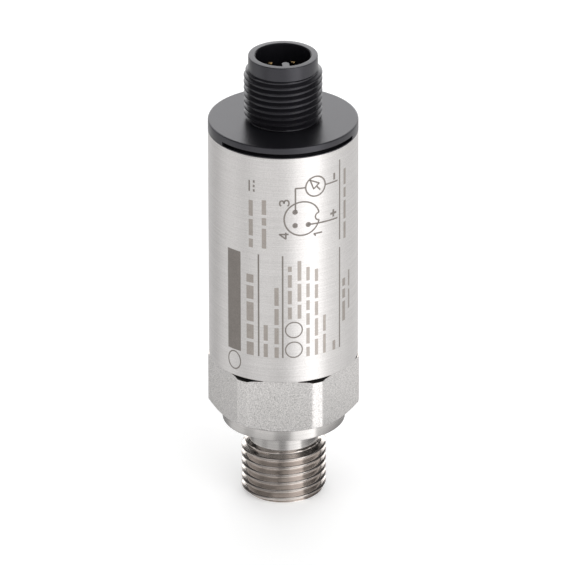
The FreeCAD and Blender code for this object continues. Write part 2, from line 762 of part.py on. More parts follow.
main_board = new_body("main_board")
board_outline = new_sketch(main_board, "BoardOutline", "XZ_Plane")
outline(board_outline, [
    ("-board_half", "board_foot"),
    ("board_half", "board_foot"),
    ("board_half", "board_top"),
    ("tab_outer", "board_top"),
    ("tab_outer", "cup_rim"),
    ("tab_inner", "cup_rim"),
    ("tab_inner", "board_top"),
    ("-tab_inner", "board_top"),
    ("-tab_inner", "cup_rim"),
    ("-tab_outer", "cup_rim"),
    ("-tab_outer", "board_top"),
    ("-board_half", "board_top"),
])
feature(main_board, "Pad", "Board", board_outline, Length="board_thickness", Midplane=True)

# The carrier stands on the boss and holds the main board's two edges in slotted uprights.
carrier = turned("board_carrier", [
    ("board_half - carrier_ledge", "boss_top"),
    ("tube_bore_radius - carrier_fit", "boss_top"),
    ("tube_bore_radius - carrier_fit", "board_foot"),
    ("board_half - carrier_ledge", "board_foot"),
])
upright_height = "skirt_end - upright_top_gap - board_foot"
posts = new_sketch(carrier, "UprightSketch", "XY_Plane", "board_foot")
rectangle(posts, ("upright_inner", "tube_bore_radius - upright_gap"),
          ("-upright_width / 2", "upright_width / 2"))
around(carrier, "Uprights", feature(carrier, "Pad", "Upright", posts, Length=upright_height), uprights)
grooves = new_sketch(carrier, "BoardSlotSketch", "XY_Plane", "board_foot")
rectangle(grooves, ("-board_half - board_play", "board_half + board_play"),
          ("-board_face - board_play", "board_face + board_play"))
feature(carrier, "Pocket", "BoardSlots", grooves, Length=upright_height, Reversed=True)

# The flexible strip runs from the cell's leads round a bend and up the back of the main board.
flex = new_body("sensor_flex")
strip = new_sketch(flex, "StripSketch", "YZ_Plane")
bend_middle = ("board_face - flex_bend", "flex_level + flex_thickness + flex_bend")
outline(strip, [
    ("-lead_row - flex_reach", "flex_level"),
    (bend_middle[0], "flex_level"),
    ("board_face + flex_thickness", bend_middle[1]),
    ("board_face + flex_thickness", "board_foot + flex_rise"),
    ("board_face", "board_foot + flex_rise"),
    ("board_face", bend_middle[1]),
    (bend_middle[0], "flex_level + flex_thickness"),
    ("-lead_row - flex_reach", "flex_level + flex_thickness"),
], {1: (bend_middle, 1), 5: (bend_middle, -1)})
feature(flex, "Pad", "Strip", strip, Length="flex_width", Midplane=True)


# Soldered parts lie on the front face of the main board, which looks to -Y, or on its back.
def on_board(thickness, side):
    """The pair of formulas along Y for something of a thickness on one face of the board."""
    if side == "front":
        return ("-board_face - " + thickness, "-board_face")
    return ("board_face", "board_face + " + thickness)


def about(middle, width):
    """The pair of formulas for a width centred on a place."""
    return ("(%s) - (%s) / 2" % (middle, width), "(%s) + (%s) / 2" % (middle, width))


def soldered(name, place, length, width, thickness, side):
    """A chip part with a cap at each end, lying along X. The core between the caps is slightly thinner."""
    across, level = place
    cap_length = "%s * solder_cap_share" % length
    parts = [box(name + "_core", about(across, length), on_board("%s * solder_core_share" % thickness, side),
                 about(level, "%s * solder_core_share" % width))]
    for index, sign in enumerate((-1, 1)):
        cap_middle = "(%s) + %d * (%s - %s) / 2" % (across, sign, length, cap_length)
        parts.append(box("%s_cap_%d" % (name, index + 1), about(cap_middle, cap_length),
                         on_board(thickness, side), about(level, width)))
    return joined(name, parts)


chip_level = "board_foot + board_height * chip_share"
chip_parts = [box("chip_body", about("0", "chip_width"), on_board("chip_thickness", "front"),
                  about(chip_level, "chip_height"))]
for side_sign in (-1, 1):
    for index in range(chip_leads_a_side):
        lead_name = "chip_lead_%d_%d" % (side_sign + 2, index + 1)
        lead_level = "%s + chip_lead_pitch * %g" % (chip_level, index - (chip_leads_a_side - 1) / 2)
        lead_middle = "%d * (chip_width + chip_lead_reach) / 2" % side_sign
        chip_parts.append(box(lead_name, about(lead_middle, "chip_lead_reach"),
                              on_board("chip_lead_thickness", "front"), about(lead_level, "chip_lead_width")))
signal_chip = joined("signal_chip", chip_parts)
signal_chip.Label = "signal_chip"
pieces.append(signal_chip)

transistor_level = "board_foot + board_height * transistor_share"
transistor_middle = "solder_gap + transistor_width / 2 - upright_inner"
transistor_parts = [
    box("transistor_body", about(transistor_middle, "transistor_width"),
        on_board("transistor_thickness", "front"), about(transistor_level, "transistor_height")),
    box("transistor_tab", about(transistor_middle, "transistor_width / 2"),
        on_board("transistor_foot_thickness", "front"),
        (transistor_level, transistor_level + " + transistor_height")),
]
for index in range(transistor_feet):
    foot_middle = "%d * transistor_foot_pitch + %s" % (index - 1, transistor_middle)
    foot = box("transistor_foot_%d" % (index + 1), about(foot_middle, "transistor_foot_width"),
               on_board("transistor_foot_thickness", "front"),
               (transistor_level + " - transistor_height", transistor_level))
    transistor_parts.append(foot)
transistor = joined("output_transistor", transistor_parts)
transistor.Label = "output_transistor"
pieces.append(transistor)

capacitor_reach = "(upright_inner - solder_gap - capacitor_length / 2)"
group("ceramic_capacitors", [
    soldered("capacitor_%d" % (index + 1),
             ("%s * %g" % (capacitor_reach, 2 * index / (capacitor_count - 1) - 1),
              "board_foot + board_height * capacitor_share"),
             "capacitor_length", "capacitor_width", "capacitor_width", "front")
    for index in range(capacitor_count)
])
group("chip_resistors", [
    soldered("resistor_%d_%d" % (column + 2, row + 1),
             ("%d * (chip_width / 2 + chip_lead_reach + resistor_length)" % column,
              chip_level + " + resistor_pitch * %g" % (row - (resistor_rows - 1) / 2)),
             "resistor_length", "resistor_width", "resistor_thickness", "front")
    for column in (-1, 1)
    for row in range(resistor_rows)
])
group("protection_diodes", [
    soldered("diode_%d" % (index + 1),
             ("0", "board_foot + board_height * (diode_share + diode_spread * %d)" % (index - 1)),
             "diode_width", "diode_height", "diode_thickness", "back")
    for index in range(diode_count)
])

inductor_level = "board_foot + board_height * inductor_share"
inductor_middle = "upright_inner - solder_gap - inductor_width / 2"
inductor = new_body("supply_inductor")
core_outline = new_sketch(inductor, "CoreOutline", "XZ_Plane", "board_face")
half, cut = "inductor_width / 2", "(inductor_width / 2 - inductor_corner)"
outline(core_outline, [
    (inductor_middle + across, inductor_level + along)
    for across, along in [(" - " + cut, " - " + half), (" + " + cut, " - " + half),
                          (" + " + half, " - " + cut), (" + " + half, " + " + cut),
                          (" + " + cut, " + " + half), (" - " + cut, " + " + half),
                          (" - " + half, " + " + cut), (" - " + half, " - " + cut)]
])
feature(inductor, "Pad", "Core", core_outline, Length="inductor_thickness")

doc.recompute()

for item in doc.Objects:
    if "Invalid" in item.State or "Error" in item.State:
        raise RuntimeError("%s did not compute" % item.Label)

os.makedirs("parts", exist_ok=True)
for piece in pieces:
    if piece.Shape.isNull() or not piece.Shape.isValid():
        raise RuntimeError("%s has no valid shape" % piece.Label)
    piece.Shape.exportStep("parts/%s.step" % piece.Label)
    print("%-20s %2d solids %9.2f mm3" % (piece.Label, len(piece.Shape.Solids), piece.Shape.Volume))
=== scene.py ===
import math
import random

import bmesh
import bpy
from mathutils import Matrix, Vector


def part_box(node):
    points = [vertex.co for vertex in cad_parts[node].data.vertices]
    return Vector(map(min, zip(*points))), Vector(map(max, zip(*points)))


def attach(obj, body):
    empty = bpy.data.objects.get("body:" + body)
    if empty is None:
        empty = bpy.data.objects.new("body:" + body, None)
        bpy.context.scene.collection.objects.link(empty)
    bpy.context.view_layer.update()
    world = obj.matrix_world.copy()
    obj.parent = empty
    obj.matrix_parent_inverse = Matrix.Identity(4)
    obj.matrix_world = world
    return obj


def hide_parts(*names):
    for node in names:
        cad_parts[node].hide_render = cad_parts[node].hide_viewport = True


# Pressure transmitter: steel fitting and tube, black moulded plug, laser-marked wiring picture.
# Sizes in the dictionaries are millimetres and degrees, the pieces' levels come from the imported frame.

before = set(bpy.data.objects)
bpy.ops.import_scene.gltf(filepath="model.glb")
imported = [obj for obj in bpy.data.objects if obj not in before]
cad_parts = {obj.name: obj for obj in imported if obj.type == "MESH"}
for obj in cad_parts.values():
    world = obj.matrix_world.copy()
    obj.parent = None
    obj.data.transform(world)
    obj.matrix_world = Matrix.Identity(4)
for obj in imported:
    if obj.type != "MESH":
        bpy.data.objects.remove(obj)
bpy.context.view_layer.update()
mm = 0.001
weld = 0.0004 * mm  # points closer than this become one
columns = 240  # faces round every turned piece


def nodeLevels(node):
    low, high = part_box(node)
    return round(low[2] / mm, 3), round(high[2] / mm, 3)


hexTop, tubeTop = nodeLevels("housing_tube")
sealPlane, sealBack = nodeLevels("stud_seal")
skirtEnd, rimTop = nodeLevels("connector_cap")
bossTop = nodeLevels("process_fitting")[1]
tailEnd, pinTip = nodeLevels("contact_pin_3")
print("frame loaded: tube from %.2f to %.2f mm, plug up to %.2f mm" % (hexTop, tubeTop, rimTop))


# Node helpers, for materials and for the geometry trees

def nodeOf(tree, kind, inputs=None, **settings):
    node = tree.nodes.new(kind)
    for key, value in settings.items():
        setattr(node, key, value)
    for key, value in (inputs or {}).items():
        if isinstance(value, bpy.types.NodeSocket):
            tree.links.new(value, node.inputs[key])
        else:
            node.inputs[key].default_value = value
    return node


def sums(tree, operation, *values):
    return nodeOf(tree, "ShaderNodeMath", dict(enumerate(values)), operation=operation).outputs[0]


def chained(tree, operation, first, *others):
    for other in others:
        first = sums(tree, operation, first, other)
    return first


def vectorSums(tree, operation, *values, output="Vector"):
    node = nodeOf(tree, "ShaderNodeVectorMath", dict(enumerate(values)), operation=operation)
    return node.outputs[output]


def mapped(tree, value, low, high, start, end, **settings):
    node = nodeOf(tree, "ShaderNodeMapRange", {0: value, 1: low, 2: high, 3: start, 4: end}, **settings)
    return node.outputs[0]


def mixed(tree, share, first, second):
    return nodeOf(tree, "ShaderNodeMix", {0: share, 2: first, 3: second}).outputs[0]


def onCylinder(tree, radius, angle, level):
    return nodeOf(tree, "ShaderNodeCombineXYZ", {
        0: sums(tree, "MULTIPLY", radius, sums(tree, "COSINE", angle)),
        1: sums(tree, "MULTIPLY", radius, sums(tree, "SINE", angle)), 2: level}).outputs[0]


# Materials: each look is a pair of tints, a pair of roughnesses and a grain, mixed by noise. The grain and
# the patches are noise scales per metre, and relief is the grain's height in millimetres.

plainLook = dict(metal=0.0, ior=1.5, tintedGloss=(1, 1, 1), grainDetail=3.0, grainRoughness=0.6,
                 patchDetail=2.0, patchShare=0.3, contrast=(0.3, 0.7), brushed=0.0, brushedTurn=0.25)


def madeFinish(name, settings):
    look = {**plainLook, **settings}
    material = bpy.data.materials.new(name)
    material.use_nodes = True
    tree = material.node_tree
    shader = tree.nodes["Principled BSDF"]
    shader.inputs["Metallic"].default_value = look["metal"]
    shader.inputs["IOR"].default_value = look["ior"]
    shader.inputs["Specular Tint"].default_value = (*look["tintedGloss"], 1)
    place = nodeOf(tree, "ShaderNodeTexCoord").outputs["Object"]
    stretched = nodeOf(tree, "ShaderNodeMapping", {"Vector": place, "Scale": look["grain"]}).outputs[0]
    grain = nodeOf(tree, "ShaderNodeTexNoise", {
        "Vector": stretched, "Scale": 1.0, "Detail": look["grainDetail"],
        "Roughness": look["grainRoughness"]}).outputs[0]
    patches = nodeOf(tree, "ShaderNodeTexNoise", {
        "Vector": place, "Scale": look["patch"], "Detail": look["patchDetail"]}).outputs[0]
    spread = mapped(tree, mixed(tree, look["patchShare"], grain, patches), *look["contrast"], 0.0, 1.0)
    tint = nodeOf(tree, "ShaderNodeMix", {0: spread, 6: (*look["dark"], 1), 7: (*look["light"], 1)},
                  data_type="RGBA")  # its colour sockets are inputs 6 and 7 and output 2
    tree.links.new(tint.outputs[2], shader.inputs["Base Color"])
    tree.links.new(mapped(tree, spread, 0.0, 1.0, *look["rough"]), shader.inputs["Roughness"])
    relief = nodeOf(tree, "ShaderNodeBump", {
        "Height": grain, "Strength": look["bump"], "Distance": look["relief"] * mm})
    tree.links.new(relief.outputs[0], shader.inputs["Normal"])
    if look["brushed"]:  # tool marks run round the axis, so the shine is drawn out across them
        shader.inputs["Anisotropic"].default_value = look["brushed"]
        shader.inputs["Anisotropic Rotation"].default_value = look["brushedTurn"]
        around = vectorSums(tree, "CROSS_PRODUCT", (0, 0, 1), place)
        tree.links.new(around, shader.inputs["Tangent"])
    return material


finishLooks = {
    "brushedTube": dict(light=(0.78, 0.76, 0.75), dark=(0.56, 0.542, 0.53), metal=1.0, rough=(0.40, 0.46),
                        grain=(110, 110, 8500), bump=0.35, relief=0.004, brushed=0.5, patch=6500,
                        patchShare=0.5),
    "milledFlat": dict(light=(0.96, 0.935, 0.92), dark=(0.36, 0.35, 0.34), metal=1.0, rough=(0.34, 0.48),
                       grain=(6500, 6500, 6000), bump=0.6, relief=0.012, patch=4800),
    "turnedSteel": dict(light=(0.68, 0.66, 0.645), dark=(0.56, 0.54, 0.525), metal=1.0, rough=(0.18, 0.26),
                        grain=(60, 60, 5000), bump=0.3, relief=0.004, brushed=0.8, patch=200),
    "cutThread": dict(light=(0.72, 0.668, 0.633), dark=(0.545, 0.50, 0.467), metal=1.0, rough=(0.12, 0.20),
                      grain=(90, 90, 5000), bump=0.25, relief=0.004, brushed=0.5, patch=500),
    "boredSteel": dict(light=(0.55, 0.53, 0.51), dark=(0.44, 0.42, 0.40), metal=1.0, rough=(0.30, 0.42),
                       grain=(90, 90, 5000), bump=0.25, relief=0.006, brushed=0.6, patch=300),
    "laserMark": dict(light=(0.31, 0.282, 0.26), dark=(0.215, 0.195, 0.18), metal=0.5, rough=(0.5, 0.62),
                      grain=(5000, 5000, 5000), bump=0.3, relief=0.004, patch=900),
    "laserFaint": dict(light=(0.46, 0.42, 0.39), dark=(0.34, 0.31, 0.285), metal=0.9, rough=(0.42, 0.50),
                       grain=(5000, 5000, 5000), bump=0.3, relief=0.004, patch=900),
    "capPlastic": dict(light=(0.012, 0.0115, 0.0145), dark=(0.005, 0.0048, 0.0062), ior=1.59,
                       rough=(0.28, 0.36), tintedGloss=(0.93, 0.92, 1.0), grain=(4500, 4500, 4500),
                       bump=0.4, relief=0.008, patch=350, patchShare=0.15),
    # gold darkened far below its own brightness: painted shade for the pins that stand down in the dark
    # socket
    "shadedGoldPlate": dict(light=(0.31, 0.21, 0.095), dark=(0.21, 0.14, 0.06), metal=1.0, rough=(0.05, 0.09),
                      grain=(900, 900, 5000), bump=0.2, relief=0.003, patch=900),
    # black rubber for the seals; on the fitting it also paints the shade in the joint under the tube's edge
    "rubberAndJointShade": dict(light=(0.022, 0.021, 0.02), dark=(0.012, 0.012, 0.012), rough=(0.55, 0.68),
                       grain=(5000, 5000, 5000), bump=0.3, relief=0.01, patch=500),
    "cellCeramic": dict(light=(0.86, 0.85, 0.81), dark=(0.78, 0.77, 0.73), rough=(0.5, 0.6),
                        grain=(6000, 6000, 6000), bump=0.3, relief=0.006, patch=400),
    "jointGlass": dict(light=(0.30, 0.33, 0.30), dark=(0.22, 0.26, 0.23), rough=(0.15, 0.25),
                       grain=(4000, 4000, 4000), bump=0.15, relief=0.004, patch=400),
    "ventFilm": dict(light=(0.88, 0.88, 0.86), dark=(0.78, 0.78, 0.76), rough=(0.6, 0.75),
                     grain=(14000, 14000, 14000), bump=0.5, relief=0.01, patch=900),
    "boardGreen": dict(light=(0.03, 0.16, 0.07), dark=(0.018, 0.11, 0.045), rough=(0.32, 0.42),
                       grain=(2500, 2500, 2500), bump=0.25, relief=0.01, patch=500),
    "flexAmber": dict(light=(0.55, 0.25, 0.04), dark=(0.42, 0.17, 0.025), rough=(0.28, 0.38),
                      grain=(3000, 3000, 3000), bump=0.2, relief=0.006, patch=500),
    "carrierNylon": dict(light=(0.30, 0.31, 0.32), dark=(0.22, 0.23, 0.24), rough=(0.45, 0.55),
                         grain=(7000, 7000, 7000), bump=0.3, relief=0.01, patch=400),
    "pottingResin": dict(light=(0.035, 0.03, 0.024), dark=(0.02, 0.017, 0.014), rough=(0.14, 0.24),
                         grain=(900, 900, 900), bump=0.25, relief=0.02, patch=300),
    "chipMould": dict(light=(0.028, 0.028, 0.03), dark=(0.016, 0.016, 0.018), rough=(0.5, 0.6),
                      grain=(12000, 12000, 12000), bump=0.4, relief=0.01, patch=700),
    "chipCeramic": dict(light=(0.52, 0.42, 0.30), dark=(0.42, 0.33, 0.22), rough=(0.4, 0.5),
                        grain=(9000, 9000, 9000), bump=0.3, relief=0.008, patch=700),
    "coreFerrite": dict(light=(0.07, 0.068, 0.065), dark=(0.04, 0.039, 0.037), rough=(0.55, 0.65),
                        grain=(9000, 9000, 9000), bump=0.4, relief=0.012, patch=700),
    "ringSteel": dict(light=(0.56, 0.54, 0.50), dark=(0.46, 0.44, 0.41), metal=1.0, rough=(0.30, 0.40),
                      grain=(90, 90, 5000), bump=0.25, relief=0.006, brushed=0.6, patch=300),
}
finishes = {name: madeFinish(name, look) for name, look in finishLooks.items()}

innerFinishes = {
    "housing_o_ring": "rubberAndJointShade", "cap_o_ring": "rubberAndJointShade", "cell_o_ring": "rubberAndJointShade",
    "cell_diaphragm": "cellCeramic", "cell_base": "cellCeramic", "cell_glass_joint": "jointGlass",
    "cell_leads": "shadedGoldPlate", "cell_washer": "ringSteel", "cell_clamp_ring": "ringSteel",
    "vent_membrane": "ventFilm", "pin_resin": "pottingResin", "contact_board": "boardGreen",
    "main_board": "boardGreen", "board_carrier": "carrierNylon", "sensor_flex": "flexAmber",
    "signal_chip": "chipMould", "output_transistor": "chipMould", "ceramic_capacitors": "chipCeramic",
    "chip_resistors": "chipMould", "protection_diodes": "chipMould", "supply_inductor": "coreFerrite",
}
for node, finishName in innerFinishes.items():
    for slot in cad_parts[node].material_slots:
        slot.material = finishes[finishName]
print("finishes made and given to the sealed inner parts")


# Turned pieces: rows of points round the axis, skinned with faces from one row to the next.

evenAngles = [2 * math.pi * index / columns for index in range(columns)]
frontTurn = 270.0  # where the object's front lies, counted as the angles are
easeReach = 0.45  # most that one corner's ease takes of a side, so that two never meet
easeSteps = 4
crispAngle = 24.0  # an edge bent more than this is shaded sharp


def onCircle(radius, angle, level, middle=(0, 0)):
    return Vector((middle[0] + radius * math.cos(angle), middle[1] + radius * math.sin(angle), level)) * mm


def ringRow(radius, level, angles=evenAngles, middle=(0, 0)):
    return [onCircle(radius, angle, level, middle) for angle in angles]


def easedProfile(profile):  # corners are (radius, level, ease, part); the part is the face after it
    points = []
    for index, corner in enumerate(profile):
        radius, level, ease, part = (*corner, 0, 0)[:4]  # ease and part may be left out
        if not ease:
            points.append((radius, level, part))
            continue
        here = Vector((radius, level))
        before = Vector(profile[index - 1][:2]) - here
        after = Vector(profile[(index + 1) % len(profile)][:2]) - here
        start = here + before.normalized() * min(ease, before.length * easeReach)
        end = here + after.normalized() * min(ease, after.length * easeReach)
        for step in range(easeSteps + 1):
            t = step / easeSteps
            point = start * (1 - t) ** 2 + here * 2 * t * (1 - t) + end * t ** 2
            points.append((point.x, point.y, part))
    return points


def turnedRows(profile, middle=(0, 0), angles=evenAngles):
    points = easedProfile(profile)
    rows = [ringRow(radius, level, angles, middle) for radius, level, part in points]
    return rows, [part for radius, level, part in points]


def skin(shape, rows, parts=None, close=False):
    made = [[shape.verts.new(point) for point in row] for row in rows]
    parts = parts or [0] * len(made)
    bands = list(zip(made, made[1:], parts))
    if close:
        bands.append((made[-1], made[0], parts[-1]))
    for low, high, part in bands:
        for index, vert in enumerate(low):
            ahead = (index + 1) % len(low)
            shape.faces.new((vert, low[ahead], high[ahead], high[index])).material_index = part
    return made


def turnedInto(shape, profile, middle=(0, 0), angles=evenAngles, close=False):
    return skin(shape, *turnedRows(profile, middle, angles), close)


def placed(name, data):
    piece = bpy.data.objects.new(name, data)
    bpy.context.scene.collection.objects.link(piece)
    return piece


def plainMesh(piece):  # what the live modifiers make of it
    graph = bpy.context.evaluated_depsgraph_get()
    return bpy.data.meshes.new_from_object(piece.evaluated_get(graph), depsgraph=graph)


def asPiece(shape, name, looks):
    bmesh.ops.remove_doubles(shape, verts=shape.verts, dist=weld)
    bmesh.ops.dissolve_degenerate(shape, dist=weld / 2, edges=shape.edges)
    bmesh.ops.recalc_face_normals(shape, faces=shape.faces)
    openEdges = [edge for edge in shape.edges if len(edge.link_faces) != 2]
    print("  %s: %d faces, %d open edges" % (name, len(shape.faces), len(openEdges)))
    mesh = bpy.data.meshes.new(name)
    shape.to_mesh(mesh)
    shape.free()
    mesh.shade_smooth()
    mesh.set_sharp_from_angle(angle=math.radians(crispAngle))
    for look in looks:
        mesh.materials.append(finishes[look])
    piece = placed(name, mesh)
    piece.modifiers.new("evenShading", "WEIGHTED_NORMAL").keep_sharp = True
    plain = plainMesh(piece)
    plain.name = name
    piece.modifiers.clear()
    piece.data = plain
    return piece


def standsFor(piece, slot, *nodes):
    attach(piece, "root")
    if nodes:
        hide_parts(*nodes)


# Trees are built once, grown on a holder with a piece's own values, and kept as plain mesh.

def newTree(name, sockets):
    tree = bpy.data.node_groups.new(name, "GeometryNodeTree")
    tree.interface.new_socket("Mesh", in_out="OUTPUT", socket_type="NodeSocketGeometry")
    names = {}
    for label, kind in sockets.items():
        socket = tree.interface.new_socket(label, in_out="INPUT", socket_type="NodeSocket" + kind)
        names[label] = socket.identifier
    return tree, names


def movedTo(tree, geometry, place):
    return nodeOf(tree, "GeometryNodeSetPosition", {"Geometry": geometry, "Position": place}).outputs[0]


def finished(tree, geometry, finish):
    real = nodeOf(tree, "GeometryNodeRealizeInstances", {"Geometry": geometry})
    dressed = nodeOf(tree, "GeometryNodeSetMaterial", {"Geometry": real.outputs[0], "Material": finish})
    nodeOf(tree, "NodeGroupOutput", {0: dressed.outputs[0]})


def grown(holder, tree, names, values):
    grower = holder.modifiers.new("grow", "NODES")
    grower.node_group = tree
    for key, value in values.items():
        grower[names[key]] = value
    mesh = plainMesh(holder)
    bpy.data.objects.remove(holder)
    return mesh


def addMesh(shape, mesh, look):
    done = len(shape.faces)
    shape.from_mesh(mesh)
    shape.faces.ensure_lookup_table()
    for face in shape.faces[done:]:
        face.material_index = look


# One tree winds both threads: a grid whose rows climb with the helix, cut off level at both ends.

threadLengths = ("Pitch", "Crest Radius", "Root Radius", "Softness", "Bottom", "Top", "Bottom Radius",
                 "Top Radius")
threadNumbers = ("Crest Share", "Root Share", "Start", "Bottom Slope", "Top Slope")
threadCounts = ("Turns", "Rows per Turn", "Columns")


def windingTree():
    tree, names = newTree("windThread", {
        **dict.fromkeys(threadLengths + threadNumbers, "Float"), **dict.fromkeys(threadCounts, "Int"),
        "Finish": "Material"})
    given = nodeOf(tree, "NodeGroupInput").outputs
    # a unit grid: x runs once round the axis, y climbs the turns
    rowCount = sums(tree, "MULTIPLY", given["Turns"], given["Rows per Turn"])
    grid = nodeOf(tree, "GeometryNodeMeshGrid", {
        "Size X": 1.0, "Size Y": 1.0, "Vertices X": sums(tree, "ADD", given["Columns"], 1.0),
        "Vertices Y": sums(tree, "ADD", rowCount, 1.0)})
    flat = nodeOf(tree, "ShaderNodeSeparateXYZ", {0: nodeOf(tree, "GeometryNodeInputPosition").outputs[0]})
    turn = sums(tree, "ADD", flat.outputs[0], 0.5)
    climb = sums(tree, "MULTIPLY", sums(tree, "ADD", flat.outputs[1], 0.5), given["Turns"])
    wound = sums(tree, "SUBTRACT", sums(tree, "ADD", climb, turn), 1.0)  # turns above the bottom
    height = sums(tree, "MULTIPLY_ADD", wound, given["Pitch"], given["Bottom"])
    level = sums(tree, "MINIMUM", sums(tree, "MAXIMUM", height, given["Bottom"]), given["Top"])
    rise = sums(tree, "SUBTRACT", level, given["Bottom"])
    phase = sums(tree, "SUBTRACT", sums(tree, "DIVIDE", rise, given["Pitch"]), turn)
    ahead = sums(tree, "ADD", phase, 100.0)  # whole turns that keep the phase above zero
    wave = sums(tree, "FRACT", sums(tree, "SUBTRACT", ahead, given["Start"]))  # 0.5 on the crest's middle
    away = sums(tree, "MULTIPLY", sums(tree, "ABSOLUTE", sums(tree, "SUBTRACT", wave, 0.5)), 2.0)
    flank = mapped(tree, away, given["Crest Share"], sums(tree, "SUBTRACT", 1.0, given["Root Share"]),
                   given["Crest Radius"], given["Root Radius"], clamp=False)
    crested = sums(tree, "SMOOTH_MIN", flank, given["Crest Radius"], given["Softness"])
    form = sums(tree, "SMOOTH_MAX", crested, given["Root Radius"], given["Softness"])
    # two cones end the thread, one at its bottom and one at its top
    lower = sums(tree, "MULTIPLY_ADD", rise, given["Bottom Slope"], given["Bottom Radius"])
    fall = sums(tree, "SUBTRACT", given["Top"], level)
    upper = sums(tree, "MULTIPLY_ADD", fall, given["Top Slope"], given["Top Radius"])
    radius = chained(tree, "MINIMUM", form, lower, upper)
    angle = sums(tree, "MULTIPLY", turn, 2 * math.pi)
    bent = movedTo(tree, grid.outputs[0], onCylinder(tree, radius, angle, level))
    welded = nodeOf(tree, "GeometryNodeMergeByDistance", {"Geometry": bent, "Distance": weld})
    finished(tree, welded.outputs[0], given["Finish"])
    return tree, names


windThread, windNames = windingTree()


def threadInto(shape, values, finish):
    scaled = {key: value * mm if key in threadLengths else value for key, value in values.items()}
    holder = placed("thread", bpy.data.meshes.new("thread"))
    mesh = grown(holder, windThread, windNames, {**scaled, "Columns": columns, "Finish": finishes[finish]})
    addMesh(shape, mesh, 0)  # a piece's first look is its thread's


# Process fitting: stud with a G 1/4 thread, neck, collar with the seal's groove, hexagon, boss in the tube

# a thread's settings are the winding tree's inputs, with one turn more than its length takes
studThread = {"Pitch": 1.337, "Crest Radius": 6.5785, "Root Radius": 5.73, "Crest Share": 1 / 6,
              "Root Share": 1 / 6, "Softness": 0.05, "Start": 0.611, "Bottom Slope": 1.17,
              "Top Slope": 1.685, "Turns": 8, "Rows per Turn": 18}
# out to the joint's shade radius the top cone is painted black, as painted shade under the tube's edge
fitting = dict(tipRadius=5.70, neckRadius=5.3985, neckLength=3.6, neckFillet=0.3, boreRadius=1.5,
               boreLead=0.3, collarRadius=9.5, collarHeight=1.65, collarEdge=0.15, grooveInner=6.95,
               grooveOuter=8.35, grooveDepth=1.4, grooveEdge=0.08, flatRadius=10.5, landRadius=11.65,
               coneAngle=30.0, hexTurn=-99.35, edge=0.05, edgeShare=0.4, seatRadius=10.75,
               jointShadeRadius=11.45, jointDrop=0.4, jointFade=0.1, bossRadius=10.47, bossLead=0.4,
               ringGroove=9.17, ringFoot=0.5, ringWidth=1.7, ringEdge=0.03, clampThread=9.5, clampEdge=0.1,
               pocket=9.1, shelf=2.95, cellFloor=3.3, cellGrooveOuter=7.12, cellGrooveInner=5.12,
               cellGrooveDepth=1.35, chamber=0.3)
coneFoot = sealPlane + fitting["collarHeight"]


def softCorner(before, corner, after):  # three points of the curve that rounds a corner
    middle = tuple(0.25 * a + 0.5 * b + 0.25 * c for a, b, c in zip(before, corner, after))
    return [before, middle, after]


def hexRows():  # the flats cut the two cones, so each column's edges climb in their own curve
    f = fitting
    reach = math.acos(f["flatRadius"] / f["landRadius"])
    normals = [math.radians(f["hexTurn"] + 60 * side) for side in range(6)]
    angles = list(evenAngles)
    for normal in normals:
        for border in (normal - reach, normal + reach):  # one column falls on each border of a flat
            angles[round(border * columns / (2 * math.pi)) % columns] = border
    lean = math.radians(f["coneAngle"])
    across, up = math.cos(lean), math.sin(lean)
    rows = []
    for angle in angles:
        off = min(abs((angle - normal + math.pi) % (2 * math.pi) - math.pi) for normal in normals)
        radius = min(f["flatRadius"] / math.cos(off), f["landRadius"])
        proud = max(0.0, radius - f["seatRadius"])  # how far the hexagon stands out of its seat
        low = coneFoot + (radius - f["collarRadius"]) * math.tan(lean)
        ease, easeTop = f["edge"], min(f["edge"], proud * f["edgeShare"])
        spots = softCorner((radius - ease * across, low - ease * up), (radius, low), (radius, low + ease))
        jointLevel = hexTop - f["jointDrop"] * min(1.0, proud / f["jointFade"])
        high = min(jointLevel, hexTop - proud * math.tan(lean))
        spots += softCorner((radius, high - easeTop), (radius, high),
                            (radius - easeTop * across, high + easeTop * up))
        # the top cone's inner part and the recess wall under the tube's edge get the black look: painted
        # shade in the crevice
        seat = min(radius, f["seatRadius"])
        jointShade = max(seat, min(radius - 2 * easeTop * across, f["jointShadeRadius"]))
        spots += [(jointShade, min(high + 2 * easeTop * up, jointLevel)), (seat, jointLevel), (seat, hexTop)]
        rows.append([onCircle(r, angle, z) for r, z in spots])
    return [list(row) for row in zip(*rows)]


